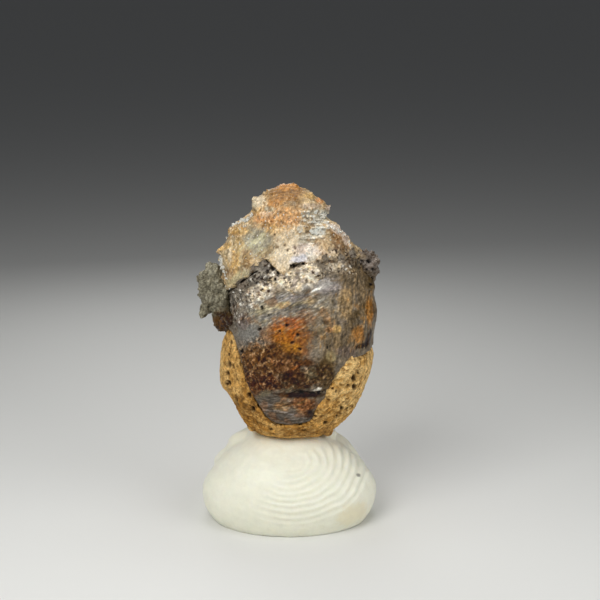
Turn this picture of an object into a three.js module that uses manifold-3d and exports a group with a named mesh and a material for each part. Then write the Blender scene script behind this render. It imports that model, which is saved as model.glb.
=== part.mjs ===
// A thumbnail mineral specimen: a spindle of calcite wound with a spiral ledge, seated in a porous tan
// matrix, with a clump of small crystals on each side. It stands in a lump of white putty.
// Millimetres, +Z up, front towards -Y. The origin is the centre of the putty's flat underside.

import * as THREE from "three";
import { mergeVertices } from "three/addons/utils/BufferGeometryUtils.js";
import Module from "manifold-3d";

const wasm = await Module();
wasm.setup();

// The stone: its ends, its upright axis and how square its plan is (2 is an ellipse).
const SPECIMEN_BOTTOM = 6.35;
const SPECIMEN_TOP = 26.0;
const AXIS_X = 0.3;
const SQUARENESS = 2.15;
const CLEARANCE = 0.06;
const SEAT_ROOM = 0.12;
const DETAIL = 0.045;

// How far the stone reaches from its axis on each side, as [height, reach].
const LEFT_REACH = [
  [6.35, 0], [6.5, 2.4], [7.0, 3.1], [7.7, 3.9], [8.6, 4.4], [9.6, 4.9], [10.7, 5.5], [11.3, 5.6], [12.2, 5.4],
  [13.3, 5.45], [14.4, 5.1], [15.6, 4.85], [17.0, 4.9], [18.6, 5.25], [20.0, 5.4], [20.8, 5.35], [21.6, 4.9],
  [22.4, 4.8], [22.9, 4.1], [23.6, 3.45], [24.5, 3.1], [24.95, 2.7], [25.4, 2.0], [25.75, 1.35], [26.0, 0],
];
const RIGHT_REACH = [
  [6.35, 0], [6.5, 2.5], [7.2, 3.3], [7.9, 4.0], [8.7, 4.55], [9.6, 5.0], [10.7, 5.5], [11.8, 5.85],
  [12.9, 6.05], [14.0, 5.65], [15.3, 5.9], [17.0, 6.2], [18.4, 6.45], [20.0, 5.7], [20.9, 4.75], [21.6, 4.05],
  [22.3, 3.75], [22.8, 3.0], [23.4, 2.55], [24.2, 2.55], [24.8, 2.1], [25.3, 1.45], [25.75, 0.7], [26.0, 0],
];
const FRONT_REACH = [
  [6.35, 0], [6.5, 2.0], [7.5, 3.1], [8.6, 3.7], [10.5, 4.35], [12.5, 4.75], [14.5, 4.9], [16.5, 4.8],
  [18.5, 4.4], [20.5, 3.65], [22.5, 2.75], [24.5, 1.85], [25.6, 1.1], [26.0, 0],
];
const BACK_REACH = [
  [6.35, 0], [6.5, 2.2], [7.5, 3.2], [9.5, 4.15], [12.0, 4.75], [15.0, 4.6], [18.0, 4.1], [20.5, 3.3],
  [23.0, 2.4], [25.0, 1.4], [26.0, 0],
];

// The calcite's spiral ledge, and the crust of pale crystal that stands proud of it over the crown.
const SPIRAL_PITCH = 8.3;
const SPIRAL_FRONT_HEIGHT = 19.3;
const SPIRAL_STEP = 0.34;
const CRUST_THICKNESS = 0.3;
const CRUST_FROM = 16.2;
const CRUST_EDGE_FRONT = [
  [-6.2, 17.3], [-4.7, 18.1], [-3.5, 19.2], [-2.75, 19.7], [-1.95, 20.7], [-1.5, 20.95], [-0.95, 19.9],
  [-0.45, 19.5], [0.1, 20.2], [1.3, 20.6], [2.2, 20.6], [3.4, 21.1], [4.4, 21.7], [6.4, 22.4],
];
const CRUST_EDGE_BACK = [
  [-6.2, 17.3], [-4.4, 17.2], [-2.8, 17.9], [-1.2, 18.6], [0.4, 18.9], [1.8, 20.2], [3.6, 21.0], [6.4, 22.4],
];

// Where the calcite ends and the matrix begins: a wavy tilted rim, with a tongue of calcite down the front.
const RIM_HEIGHT = 14.6;
const RIM_TILT = 0.9;
const TONGUE_PROUD = 0.2;
const TONGUE_BACK_Y = -1.3;
const TONGUE_OUTLINE = [
  [-6.2, 15.9], [-4.35, 15.4], [-3.75, 14.0], [-3.2, 11.9], [-2.3, 9.9], [-1.8, 9.0], [-1.1, 8.5], [-0.15, 8.35],
  [1.3, 8.6], [1.7, 8.95], [1.8, 9.5], [2.35, 10.4], [2.8, 10.8], [3.1, 12.1], [3.75, 13.0], [4.9, 13.6],
  [6.0, 13.9], [7.4, 14.2], [7.4, 18.0], [-6.2, 18.0],
];

// The crown's blocky crystals, grown nearly parallel, and the small teeth of its outline as [x, height, size].
const CROWN_CRYSTALS = 46;
const CROWN_CRYSTAL_SIZE = 1.75;
const CROWN_CRYSTAL_SUNK = 0.58;
const TOOTH_SUNK = 0.75;
const EDGE_TEETH = [
  [-5.25, 20.75, 0.6], [-5.2, 20.1, 0.42], [-5.15, 19.4, 0.42], [-4.9, 18.7, 0.4], [-4.75, 21.75, 0.5],
  [-4.55, 22.4, 0.5], [-3.85, 22.95, 0.5], [-3.35, 23.35, 0.42], [-2.95, 23.85, 0.45], [-2.75, 24.75, 0.6],
  [-1.75, 25.35, 0.5], [0.9, 25.6, 0.5], [2.0, 25.1, 0.55], [2.9, 24.15, 0.62], [2.75, 23.3, 0.45],
  [3.55, 22.6, 0.5], [4.1, 22.1, 0.42], [4.4, 21.6, 0.42], [4.9, 21.0, 0.42],
];

// The matrix's pores.
const PORES = 38;
const PORE_RADIUS = 0.21;

// The clump of crystals on the left with the lump of iron oxide under it, and the smaller clump on the right.
const LEFT_CLUMP = { centre: [-5.5, 0.9, 17.75], reach: [1.15, 1.2, 1.5], crystals: 26, size: 1.05, seed: 5 };
const RIGHT_CLUMP = { centre: [5.8, 0.4, 19.6], reach: [0.85, 1.0, 1.1], crystals: 20, size: 0.66, seed: 11 };
const IRON_LUMP = { centre: [-5.05, 0.45, 15.6], reach: [0.8, 1.2, 1.15] };

// The putty: one large lobe in front, two folded up behind the stone and one that fills between them.
const PUTTY_LOBES = [
  { centre: [-0.05, -0.75, 2.45], reach: [6.4, 4.85, 4.45] },
  { centre: [-2.1, 1.5, 2.8], reach: [3.75, 3.5, 3.7] },
  { centre: [2.15, 1.5, 2.6], reach: [3.65, 3.4, 3.6] },
  { centre: [0.3, 1.9, 2.3], reach: [4.6, 3.5, 3.3] },
];
const PUTTY_SLUMP = 0.12;
const PUTTY_ROUND_STEPS = 28;
const PUTTY_RISE_STEPS = 16;

const UP = new THREE.Vector3(0, 0, 1);
const GOLDEN_ANGLE = Math.PI * (3 - Math.sqrt(5));
const FAR = 9;

// A repeatable stream of numbers from 0 to 1.
function randomStream(seed) {
  let state = seed;
  return () => {
    state = (state * 1664525 + 1013904223) % 4294967296;
    return state / 4294967296;
  };
}

// A closed three.js geometry as a solid for joining and cutting.
function solidOf(geometry) {
  const bare = geometry.clone();
  bare.deleteAttribute("normal");
  bare.deleteAttribute("uv");
  const merged = mergeVertices(bare, 1e-4);
  return new wasm.Manifold(
    new wasm.Mesh({
      numProp: 3,
      vertProperties: merged.attributes.position.array,
      triVerts: new Uint32Array(merged.index.array),
    }),
  );
}

// A joined solid as a named mesh.
function meshOf(solid, name, look) {
  const made = solid.getMesh();
  const geometry = new THREE.BufferGeometry();
  geometry.setAttribute("position", new THREE.BufferAttribute(made.vertProperties, 3));
  geometry.setIndex(new THREE.BufferAttribute(made.triVerts, 1));
  geometry.computeVertexNormals();
  const mesh = new THREE.Mesh(geometry, new THREE.MeshStandardMaterial({ metalness: 0, ...look }));
  mesh.name = name;
  return mesh;
}

// Reach at any height, straight between the given points.
function reachCurve(points) {
  const curve = new THREE.LinearInterpolant(
    points.map(([height]) => height),
    points.map(([, reach]) => reach),
    1,
  );
  return (height) => curve.evaluate(height)[0];
}

const leftReach = reachCurve(LEFT_REACH);
const rightReach = reachCurve(RIGHT_REACH);
const frontReach = reachCurve(FRONT_REACH);
const backReach = reachCurve(BACK_REACH);

// Distance from the axis to the stone's outside, at an angle counterclockwise from +X seen from above.
function stoneReach(angle, height) {
  const across = Math.cos(angle) > 0 ? rightReach(height) : leftReach(height);
  const along = Math.sin(angle) > 0 ? backReach(height) : frontReach(height);
  if (across * along === 0) return 0;
  const share =
    Math.abs(Math.cos(angle) / across) ** SQUARENESS + Math.abs(Math.sin(angle) / along) ** SQUARENESS;
  return share ** (-1 / SQUARENESS);
}

// Low rounded lumps, at most 1 either way.
function lumps(angle, height) {
  const waves =
    Math.sin(3 * angle + 0.9 * height) +
    Math.sin(5 * angle - 1.3 * height + 2) +
    Math.sin(7 * angle + 2.1 * height + 4);
  return waves / 3;
}

// 1 just above the spiral ledge, falling to 0 at the next turn up. The ledge rises to the right in front.
function spiralShelf(angle, height) {
  const turnsFromFront = angle / (2 * Math.PI) + 0.25;
  const turn = (height - SPIRAL_FRONT_HEIGHT) / SPIRAL_PITCH - turnsFromFront;
  return 1 - (turn - Math.floor(turn));
}

// A closed body round the stone's axis, whose reach is a function of angle and height.
function spindle(roundSteps, riseSteps, reachAt) {
  const geometry = new THREE.SphereGeometry(1, roundSteps, riseSteps).rotateX(Math.PI / 2);
  const spots = geometry.attributes.position;
  const middle = (SPECIMEN_TOP + SPECIMEN_BOTTOM) / 2;
  const half = (SPECIMEN_TOP - SPECIMEN_BOTTOM) / 2;
  for (let i = 0; i < spots.count; i++) {
    const x = spots.getX(i);
    const y = spots.getY(i);
    const height = middle + half * (Math.asin(THREE.MathUtils.clamp(spots.getZ(i), -1, 1)) / (Math.PI / 2));
    const onAxis = Math.hypot(x, y) < 1e-4;
    const angle = Math.atan2(y, x);
    const reach = onAxis ? 0 : reachAt(angle, height);
    spots.setXYZ(i, AXIS_X + reach * Math.cos(angle), reach * Math.sin(angle), height);
  }
  return solidOf(geometry);
}

// A flat outline in the front view, as [x, height] points, pushed from depth yNear back to yFar.
function frontPrism(outline, yNear, yFar) {
  const shape = new THREE.Shape(outline.map(([x, height]) => new THREE.Vector2(x, height)));
  const geometry = new THREE.ExtrudeGeometry(shape, { depth: yFar - yNear, bevelEnabled: false });
  return solidOf(geometry.rotateX(Math.PI / 2).translate(0, yFar, 0));
}

// Everything above the wavy rim that parts the calcite from the matrix, the rim moved down by drop.
function aboveRim(drop) {
  const radius = 8;
  const ceiling = 30;
  const geometry = new THREE.CylinderGeometry(radius, radius, 1, 36, 1).rotateX(Math.PI / 2);
  const spots = geometry.attributes.position;
  for (let i = 0; i < spots.count; i++) {
    const x = spots.getX(i);
    const y = spots.getY(i);
    const angle = Math.atan2(y, x);
    const spread = Math.hypot(x, y) / radius;
    const wave = -RIM_TILT * Math.cos(angle) + 0.35 * Math.sin(3 * angle + 1);
    const rim = RIM_HEIGHT + 1.5 * spread * wave - drop;
    spots.setXYZ(i, AXIS_X + x, y, spots.getZ(i) > 0 ? ceiling : rim);
  }
  return solidOf(geometry);
}

// An outline grown from its middle by a small factor.
function grown(outline, factor) {
  const middle = new THREE.Box2()
    .setFromPoints(outline.map(([x, height]) => new THREE.Vector2(x, height)))
    .getCenter(new THREE.Vector2());
  return outline.map(([x, height]) => [
    middle.x + factor * (x - middle.x),
    middle.y + factor * (height - middle.y),
  ]);
}

// A calcite rhomb: a cube drawn out along one body diagonal, which then points along aim.
function rhomb(size, stretch, aim, spin, place) {
  const diagonal = new THREE.Vector3(1, 1, 1).normalize();
  const geometry = new THREE.BoxGeometry(size, size, size)
    .applyQuaternion(new THREE.Quaternion().setFromUnitVectors(diagonal, UP))
    .scale(1, 1, stretch)
    .rotateZ(spin)
    .applyQuaternion(new THREE.Quaternion().setFromUnitVectors(UP, aim.clone().normalize()))
    .translate(place.x, place.y, place.z);
  return solidOf(geometry);
}

// The largest piece of a solid, without the crumbs that a cut leaves.
function largestPiece(solid) {
  return solid.decompose().sort((one, other) => other.volume() - one.volume())[0];
}

// An ellipsoid of flat facets.
function boulder(centre, reach, detail) {
  return solidOf(new THREE.IcosahedronGeometry(1, detail).scale(...reach).translate(...centre));
}

// Crystals grown together round a centre: rhombs that point outwards all over an ellipsoid.
function crystalClump({ centre, reach, crystals, size, seed }) {
  const random = randomStream(seed);
  const heart = boulder(centre, reach.map((length) => 0.85 * length), 1);
  const grownOn = [];
  for (let i = 0; i < crystals; i++) {
    const rise = 1 - (2 * (i + 0.5)) / crystals;
    const flat = Math.sqrt(1 - rise * rise);
    const aim = new THREE.Vector3(flat * Math.cos(i * GOLDEN_ANGLE), flat * Math.sin(i * GOLDEN_ANGLE), rise);
    const place = aim
      .clone()
      .multiply(new THREE.Vector3(...reach))
      .multiplyScalar(0.6 + 0.2 * random())
      .add(new THREE.Vector3(...centre));
    grownOn.push(rhomb(size * (0.6 + 0.5 * random()), 1.25, aim, random() * Math.PI, place));
  }
  return wasm.Manifold.union([heart, ...grownOn]);
}

// How far the wound spindle, the crust over the crown and the lumpy matrix reach.
function woundReach(angle, height) {
  const reach = stoneReach(angle, height);
  const crust = THREE.MathUtils.smoothstep(height, CRUST_FROM, CRUST_FROM + 1.5);
  const offset = TONGUE_PROUD * (1 - crust) - CRUST_THICKNESS * crust;
  return reach + Math.min(1, reach / 2) * (offset + SPIRAL_STEP * (spiralShelf(angle, height) - 0.6));
}

function crustReach(angle, height) {
  const reach = stoneReach(angle, height);
  return reach + Math.min(1, reach / 2) * 0.1 * lumps(angle, 2 * height);
}

function matrixReach(angle, height) {
  const reach = stoneReach(angle, height);
  return reach + Math.min(1, reach / 3) * 0.1 * lumps(angle, height);
}

// The whole stone with a little room round it, to cut the seats of what touches it.
function makeSeat() {
  return spindle(36, 30, (angle, height) => {
    const reaches = [woundReach, crustReach, matrixReach].map((reachAt) => reachAt(angle, height));
    return Math.max(...reaches) + SEAT_ROOM;
  });
}

// Whether a place is in or close to one of the clumps on the sides.
function nearClump(place) {
  return [LEFT_CLUMP, RIGHT_CLUMP].some(({ centre, reach }) => {
    const away = place.clone().sub(new THREE.Vector3(...centre)).divide(new THREE.Vector3(...reach));
    return away.length() < 1.75;
  });
}

// The crown's crystals: blocks sunk in the surface, and teeth along the outline.
function crownCrystals() {
  const random = randomStream(7);
  const crystals = [];
  for (const [x, height, size] of EDGE_TEETH) {
    const aim = new THREE.Vector3(x - AXIS_X, 0.6 * random() - 0.4, height - 20.5).normalize();
    const place = new THREE.Vector3(x, 0, height).addScaledVector(aim, -TOOTH_SUNK * size);
    if (!nearClump(place)) crystals.push(rhomb(size, 1.3, aim, random() * Math.PI, place));
  }
  for (let i = 0; i < CROWN_CRYSTALS; i++) {
    const angle = i * GOLDEN_ANGLE;
    const height = 18.7 + 6.2 * ((i + 0.5) / CROWN_CRYSTALS);
    const size = CROWN_CRYSTAL_SIZE * (0.55 + 0.45 * random()) * (height > 24 ? 0.7 : 1);
    const reach = stoneReach(angle, height) - CROWN_CRYSTAL_SUNK * size;
    const aim = new THREE.Vector3(0.3 * random() - 0.15, 0.3 * random() - 0.15, 1);
    const place = new THREE.Vector3(AXIS_X + reach * Math.cos(angle), reach * Math.sin(angle), height);
    if (!nearClump(place)) crystals.push(rhomb(size, 1.0, aim, angle + 0.5 * random(), place));
  }
  return crystals;
}

// The spiral calcite: the wound spindle with its tongue, the crust over the crown and its crystals.
function makeCalcite() {
  const body = spindle(36, 30, woundReach);
  const crown = spindle(36, 30, crustReach);
  const aboveEdge = (edge) => [...edge, [6.4, 30], [-6.2, 30]];
  const crust = wasm.Manifold.union([
    crown.intersect(frontPrism(aboveEdge(CRUST_EDGE_FRONT), -FAR, 0)),
    crown.intersect(frontPrism(aboveEdge(CRUST_EDGE_BACK), 0, FAR)),
  ]);
  const shown = body.intersect(aboveRim(0).add(frontPrism(TONGUE_OUTLINE, -FAR, TONGUE_BACK_Y)));
  return wasm.Manifold.union([shown, crust, ...crownCrystals()]).simplify(DETAIL);
}

// The porous tan matrix: the lower half of the stone, hollowed for the calcite and pitted all over.
function makeMatrix() {
  const tongueSeat = frontPrism(grown(TONGUE_OUTLINE, 1.014), -FAR, TONGUE_BACK_Y + CLEARANCE);
  const random = randomStream(21);
  const pores = [];
  for (let i = 0; i < PORES; i++) {
    const angle = i * GOLDEN_ANGLE + 0.5 * random();
    const height = 7.8 + 6.0 * random();
    const reach = stoneReach(angle, height);
    const radius = PORE_RADIUS * (0.7 + 0.8 * random());
    const pore = new THREE.IcosahedronGeometry(radius, 0).scale(1, 1, 1 + random());
    pores.push(solidOf(pore.translate(AXIS_X + reach * Math.cos(angle), reach * Math.sin(angle), height)));
  }
  const hollow = wasm.Manifold.union([aboveRim(CLEARANCE), tongueSeat, ...pores]);
  return spindle(36, 30, matrixReach).subtract(hollow).simplify(DETAIL);
}

// The crystals and the iron oxide lump on the left side, shaped to the stone behind them.
function makeLeftClump(seat) {
  const clump = crystalClump(LEFT_CLUMP).add(boulder(IRON_LUMP.centre, IRON_LUMP.reach, 2));
  return largestPiece(clump.subtract(seat).simplify(DETAIL));
}

// The smaller crystals on the right side.
function makeRightClump(seat) {
  return largestPiece(crystalClump(RIGHT_CLUMP).subtract(seat).simplify(DETAIL));
}

// The putty the stone is pressed into, slumped a little outwards at its foot and cut flat below.
function makePutty(seat) {
  const lobes = PUTTY_LOBES.map(({ centre, reach }) => {
    const geometry = new THREE.SphereGeometry(1, PUTTY_ROUND_STEPS, PUTTY_RISE_STEPS).rotateX(Math.PI / 2);
    const spots = geometry.attributes.position;
    for (let i = 0; i < spots.count; i++) {
      const slump = 1 - PUTTY_SLUMP * spots.getZ(i);
      spots.setXYZ(i, spots.getX(i) * slump, spots.getY(i) * slump, spots.getZ(i));
    }
    return solidOf(geometry.scale(...reach).translate(...centre));
  });
  const abovePad = solidOf(new THREE.BoxGeometry(30, 30, 20).translate(0, 0, 10));
  return wasm.Manifold.union(lobes).intersect(abovePad).subtract(seat).simplify(DETAIL);
}

const calcite = makeCalcite();
const matrix = makeMatrix();
const seat = makeSeat();

const specimen = new THREE.Group();
specimen.add(
  meshOf(calcite, "spiral_calcite", { color: 0x7f7160, roughness: 0.45 }),
  meshOf(matrix, "tan_matrix", { color: 0xab8450, roughness: 0.9 }),
  meshOf(makeLeftClump(seat), "left_crystal_cluster", { color: 0x766f5e, roughness: 0.5 }),
  meshOf(makeRightClump(seat), "right_crystal_knob", { color: 0x6a615c, roughness: 0.5 }),
  meshOf(makePutty(seat), "putty_mount", { color: 0xefeedd, roughness: 0.5 }),
);

export default specimen;
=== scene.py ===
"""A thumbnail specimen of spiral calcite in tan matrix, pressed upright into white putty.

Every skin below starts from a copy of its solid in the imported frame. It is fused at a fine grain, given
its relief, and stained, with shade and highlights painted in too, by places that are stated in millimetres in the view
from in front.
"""

from __future__ import annotations

import logging
import math
import random
from dataclasses import dataclass, field
from enum import Enum
from typing import Iterable

import bmesh
import bpy
import numpy as np
from mathutils import Matrix, Quaternion, Vector, noise
from mathutils.bvhtree import BVHTree


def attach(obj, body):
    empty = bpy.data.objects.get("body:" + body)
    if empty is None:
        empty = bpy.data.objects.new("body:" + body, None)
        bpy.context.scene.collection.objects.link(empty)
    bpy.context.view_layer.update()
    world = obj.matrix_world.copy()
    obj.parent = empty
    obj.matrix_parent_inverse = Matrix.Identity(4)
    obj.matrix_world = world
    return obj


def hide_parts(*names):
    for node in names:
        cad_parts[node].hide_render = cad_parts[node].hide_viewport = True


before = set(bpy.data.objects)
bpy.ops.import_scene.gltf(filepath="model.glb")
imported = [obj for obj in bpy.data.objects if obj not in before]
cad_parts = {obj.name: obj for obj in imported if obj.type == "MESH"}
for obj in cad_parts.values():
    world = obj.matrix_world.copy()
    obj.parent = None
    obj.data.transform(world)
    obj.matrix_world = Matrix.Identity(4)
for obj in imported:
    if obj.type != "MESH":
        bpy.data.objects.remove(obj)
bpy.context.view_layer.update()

log = logging.getLogger("spiral_calcite")

METRES = 0.001
Floats = np.ndarray


class Shade(Enum):
    """Colours of the specimen as they look in even light, red, green and blue from 0 to 255."""

    BUFF = (196, 168, 124)
    TAN_CRUST = (186, 166, 128)
    OCHRE = (218, 176, 108)
    LICHEN_GREY = (162, 155, 131)
    STRAW = (206, 200, 158)
    ORANGE = (220, 170, 112)
    BURNT_ORANGE = (206, 144, 90)
    CAP_BROWN = (150, 106, 54)
    CAP_EDGE = (188, 130, 64)
    CREAM = (232, 214, 182)
    ICE = (212, 214, 204)
    GLASS_GREY = (164, 156, 136)
    PINK_WHITE = (222, 202, 186)
    LAVENDER = (208, 206, 212)
    WHITE = (238, 232, 218)
    UMBER = (140, 108, 72)
    SHOULDER = (136, 118, 92)
    SLATE = (116, 106, 92)
    SAGE = (157, 152, 135)
    KHAKI = (174, 158, 112)
    WARM_GREY = (142, 133, 119)
    BLUE_GREY = (125, 123, 117)
    DARK_SLATE = (92, 88, 82)
    PALE_GREY = (172, 168, 160)
    LILAC_GREY = (160, 152, 150)
    PLUM_GREY = (106, 92, 86)
    WEDGE_GREY = (132, 124, 112)
    RUST = (164, 94, 44)
    RUST_RED = (148, 82, 46)
    RUST_YELLOW = (184, 118, 50)
    RUST_GOLD = (190, 130, 54)
    RUST_BROWN = (138, 90, 56)
    DRUSE_BROWN = (108, 78, 50)
    DRUSE_DEEP = (92, 64, 38)
    DRUSE_TAN = (178, 146, 110)
    DARK_RED = (80, 50, 30)
    NIGHT_BROWN = (44, 30, 18)
    OLIVE_DARK = (80, 65, 43)
    OLIVE = (112, 95, 72)
    OLIVE_GREY = (106, 98, 76)
    STREAK_TAN = (154, 126, 86)
    STREAK_ORANGE = (157, 107, 55)
    TONGUE_SLATE = (96, 88, 80)
    BLACK = (18, 14, 12)
    MATRIX_TAN = (202, 158, 92)
    MATRIX_PALE = (224, 188, 126)
    MATRIX_DEEP = (166, 116, 50)
    MATRIX_BROWN = (116, 78, 36)
    CLUSTER_GREY = (143, 137, 117)
    CLUSTER_PALE = (172, 168, 146)
    CLUSTER_DARK = (66, 60, 48)
    IRON_BROWN = (58, 42, 26)
    KNOB_GREY = (116, 107, 98)
    KNOB_PALE = (168, 156, 146)
    PUTTY = (244, 243, 224)
    PUTTY_WARM = (236, 226, 192)
    FLOOR = (226, 226, 222)

    def seen(self) -> Floats:
        """Return the colour as three numbers from 0 to 1, still in display space."""
        return np.array(self.value) / 255.0


def to_light(seen: Floats) -> Floats:
    """Turn display colours into the linear light that shaders use.

    Args:
        seen: Display colours from 0 to 1.

    Returns:
        The same colours in linear light.
    """
    clipped = np.clip(seen, 0.0, 1.0)
    return np.where(clipped <= 0.04045, clipped / 12.92, ((clipped + 0.055) / 1.055) ** 2.4)


def ramp(values: Floats, low: float, high: float) -> Floats:
    """Rise smoothly from 0 at low to 1 at high.

    Args:
        values: Numbers to grade.
        low: Where the ramp starts.
        high: Where the ramp ends, which may be below low.

    Returns:
        The graded numbers.
    """
    share = np.clip((values - low) / (high - low), 0.0, 1.0)
    return share * share * (3.0 - 2.0 * share)


def fractal(points: Floats, size: float, seed: int, octaves: int = 3, stretch: tuple[float, ...] = (1, 1, 1)) -> Floats:
    """Soft noise from about -1 to 1.

    Args:
        points: Places in millimetres.
        size: Size of the largest lumps in millimetres.
        seed: Which noise.
        octaves: How many finer layers it holds.
        stretch: How much longer the lumps are along each axis.

    Returns:
        One number for each place.
    """
    scaled = points / (size * np.array(stretch)) + seed * np.array([7.31, 3.17, 5.79])
    made = (noise.fractal(place, 1.0, 2.0, octaves) for place in scaled.tolist())
    return np.fromiter(made, float, len(points))


def ridges(points: Floats, size: float, seed: int, stretch: tuple[float, ...] = (1, 1, 1)) -> Floats:
    """Winding ridges, 1 on a crest and 0 away from it.

    Args:
        points: Places in millimetres.
        size: Distance between ridges in millimetres.
        seed: Which noise.
        stretch: How much longer they are along each axis.

    Returns:
        One number for each place.
    """
    return np.clip(1.0 - 3.2 * np.abs(fractal(points, size, seed, 2, stretch)), 0.0, 1.0)


def cells(points: Floats, size: float, seed: int, stretch: tuple[float, ...] = (1, 1, 1)) -> tuple[Floats, Floats, Floats]:
    """Split the places into grains.

    Args:
        points: Places in millimetres.
        size: Size of a grain in millimetres.
        seed: Which grains.
        stretch: How much longer they are along each axis.

    Returns:
        How domed each place is (1 in a grain's middle), how far it is from a grain boundary, and a number
        from 0 to 1 that is the same all over a grain.
    """
    scaled = points / (size * np.array(stretch)) + seed * np.array([5.13, 9.41, 2.77])
    near = np.empty(len(points))
    gap = np.empty(len(points))
    tint = np.empty(len(points))
    for i, place in enumerate(scaled.tolist()):
        distances, centres = noise.voronoi(place)
        near[i] = distances[0]
        gap[i] = distances[1] - distances[0]
        middle = centres[0]
        tint[i] = math.sin(12.9898 * middle[0] + 78.233 * middle[1] + 37.719 * middle[2]) * 43758.5453
    return np.clip(1.0 - near, 0.0, 1.0), gap, tint - np.floor(tint)


def plates(points: Floats, size: float, seed: int, stretch: tuple[float, ...] = (1, 1, 1)) -> tuple[Floats, Floats]:
    """Split the places into tilted plates like broken crystal faces.

    Args:
        points: Places in millimetres.
        size: Size of a plate in millimetres.
        seed: Which plates.
        stretch: How much longer they are along each axis.

    Returns:
        How far each place stands out, from about -1 to 1, and a number from 0 to 1 that is the same all over
        a plate.
    """
    scaled = points / (size * np.array(stretch)) + seed * np.array([4.31, 8.17, 6.53])
    middle = np.array([noise.voronoi(place)[1][0][:] for place in scaled.tolist()])
    odds = np.sin(middle @ np.array([[12.99, 39.35, 73.16, 27.17], [78.23, 11.14, 52.23, 61.43], [37.72, 83.16, 9.15, 45.61]]))
    odds = odds * 43758.5453
    odds -= np.floor(odds)
    tilt = 2.0 * odds[:, :3] - 1.0
    return 1.3 * np.sum((scaled - middle) * tilt, axis=1) + 0.6 * (odds[:, 3] - 0.5), odds[:, 3]


def streaks(points: Floats, turn: float, length: float, width: float, seed: int, octaves: int = 3) -> Floats:
    """Soft streaks that all run one way across the front, from about -1 to 1.

    Args:
        points: Places in millimetres.
        turn: Direction from level in degrees, anticlockwise.
        length: Length of a streak in millimetres.
        width: Width of a streak in millimetres.
        seed: Which streaks.
        octaves: How many finer layers they hold.

    Returns:
        One number for each place.
    """
    angle = math.radians(turn)
    along = points[:, 0] * math.cos(angle) + points[:, 2] * math.sin(angle)
    beside = points[:, 2] * math.cos(angle) - points[:, 0] * math.sin(angle)
    turned = np.stack([along, points[:, 1], beside], axis=1)
    return fractal(turned, width, seed, octaves, (length / width, 2.0, 1.0))


@dataclass(frozen=True)
class FrontView:
    """The view from in front, a little from above, in which stains and small forms are placed."""

    elevation: float = math.radians(15.0)
    distance: float = 110.0
    aim: tuple[float, float, float] = (0.75, 0.0, 17.0)
    centre: tuple[float, float] = (0.75, 16.43)

    def axes(self) -> tuple[Floats, Floats, Floats, Floats]:
        """Return the eye and the directions ahead, to the right and up."""
        ahead = np.array([0.0, math.cos(self.elevation), -math.sin(self.elevation)])
        rightward = np.array([1.0, 0.0, 0.0])
        upward = np.cross(rightward, ahead)
        return np.array(self.aim) - ahead * self.distance, ahead, rightward, upward

    def place(self, points: Floats) -> tuple[Floats, Floats]:
        """Say where points appear.

        Args:
            points: Places in millimetres.

        Returns:
            How far across and how far up each appears, in millimetres at the stone's axis.
        """
        eye, ahead, rightward, upward = self.axes()
        seen = points - eye
        scale = self.distance / (seen @ ahead)
        return self.centre[0] + scale * (seen @ rightward), self.centre[1] + scale * (seen @ upward)

    def ray(self, across: float, up: float) -> tuple[Vector, Vector]:
        """Return the eye and the direction towards a place in the view."""
        eye, ahead, rightward, upward = self.axes()
        aimed = ahead * self.distance + rightward * (across - self.centre[0]) + upward * (up - self.centre[1])
        return Vector(eye), Vector(aimed).normalized()

    def at(self, across: float, up: float, depth: float) -> Vector:
        """Return the place with this depth along Y that appears there in the view."""
        eye, aimed = self.ray(across, up)
        return eye + aimed * ((depth - eye.y) / aimed.y)


VIEW = FrontView()


@dataclass(frozen=True)
class Patch:
    """An oval place in the front view, with its colour."""

    across: float
    up: float
    wide: float
    tall: float
    shade: Shade
    strength: float = 0.85
    turn: float = 0.0
    soft: float = 0.35

    def weight(self, across: Floats, up: Floats, ragged: Floats) -> Floats:
        """Say how much of the patch each place shows.

        Args:
            across: Places across the view.
            up: Places up the view.
            ragged: Noise that breaks the edge.

        Returns:
            The share from 0 to the patch's strength.
        """
        angle = math.radians(self.turn)
        right = (across - self.across) * math.cos(angle) + (up - self.up) * math.sin(angle)
        rise = (up - self.up) * math.cos(angle) - (across - self.across) * math.sin(angle)
        away = np.hypot(right / self.wide, rise / self.tall) + ragged
        return self.strength * ramp(away, 1.0 + self.soft, 1.0 - self.soft)


@dataclass(frozen=True)
class Pit:
    """A small hole in the front."""

    across: float
    up: float
    radius: float
    depth: float = 0.16
    tall: float = 1.0
    turn: float = 0.0

    def weight(self, across: Floats, up: Floats, ragged: Floats) -> Floats:
        """Return how deep in the pit each place is, from 0 to 1."""
        angle = math.radians(self.turn)
        right = (across - self.across) * math.cos(angle) + (up - self.up) * math.sin(angle)
        rise = (up - self.up) * math.cos(angle) - (across - self.across) * math.sin(angle)
        away = np.hypot(right / self.radius, rise / (self.radius * self.tall)) + 0.5 * ragged
        return ramp(away, 1.25, 0.45)


@dataclass(frozen=True)
class Hollow:
    """A broad dent, or a swelling where its depth is negative, in the front."""

    across: float
    up: float
    wide: float
    tall: float
    depth: float
    turn: float = 0.0

    def depths(self, across: Floats, up: Floats) -> Floats:
        """Return how far each place sinks, in millimetres."""
        angle = math.radians(self.turn)
        right = (across - self.across) * math.cos(angle) + (up - self.up) * math.sin(angle)
        rise = (up - self.up) * math.cos(angle) - (across - self.across) * math.sin(angle)
        return self.depth * np.exp(-((right / self.wide) ** 2) - (rise / self.tall) ** 2)


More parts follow.
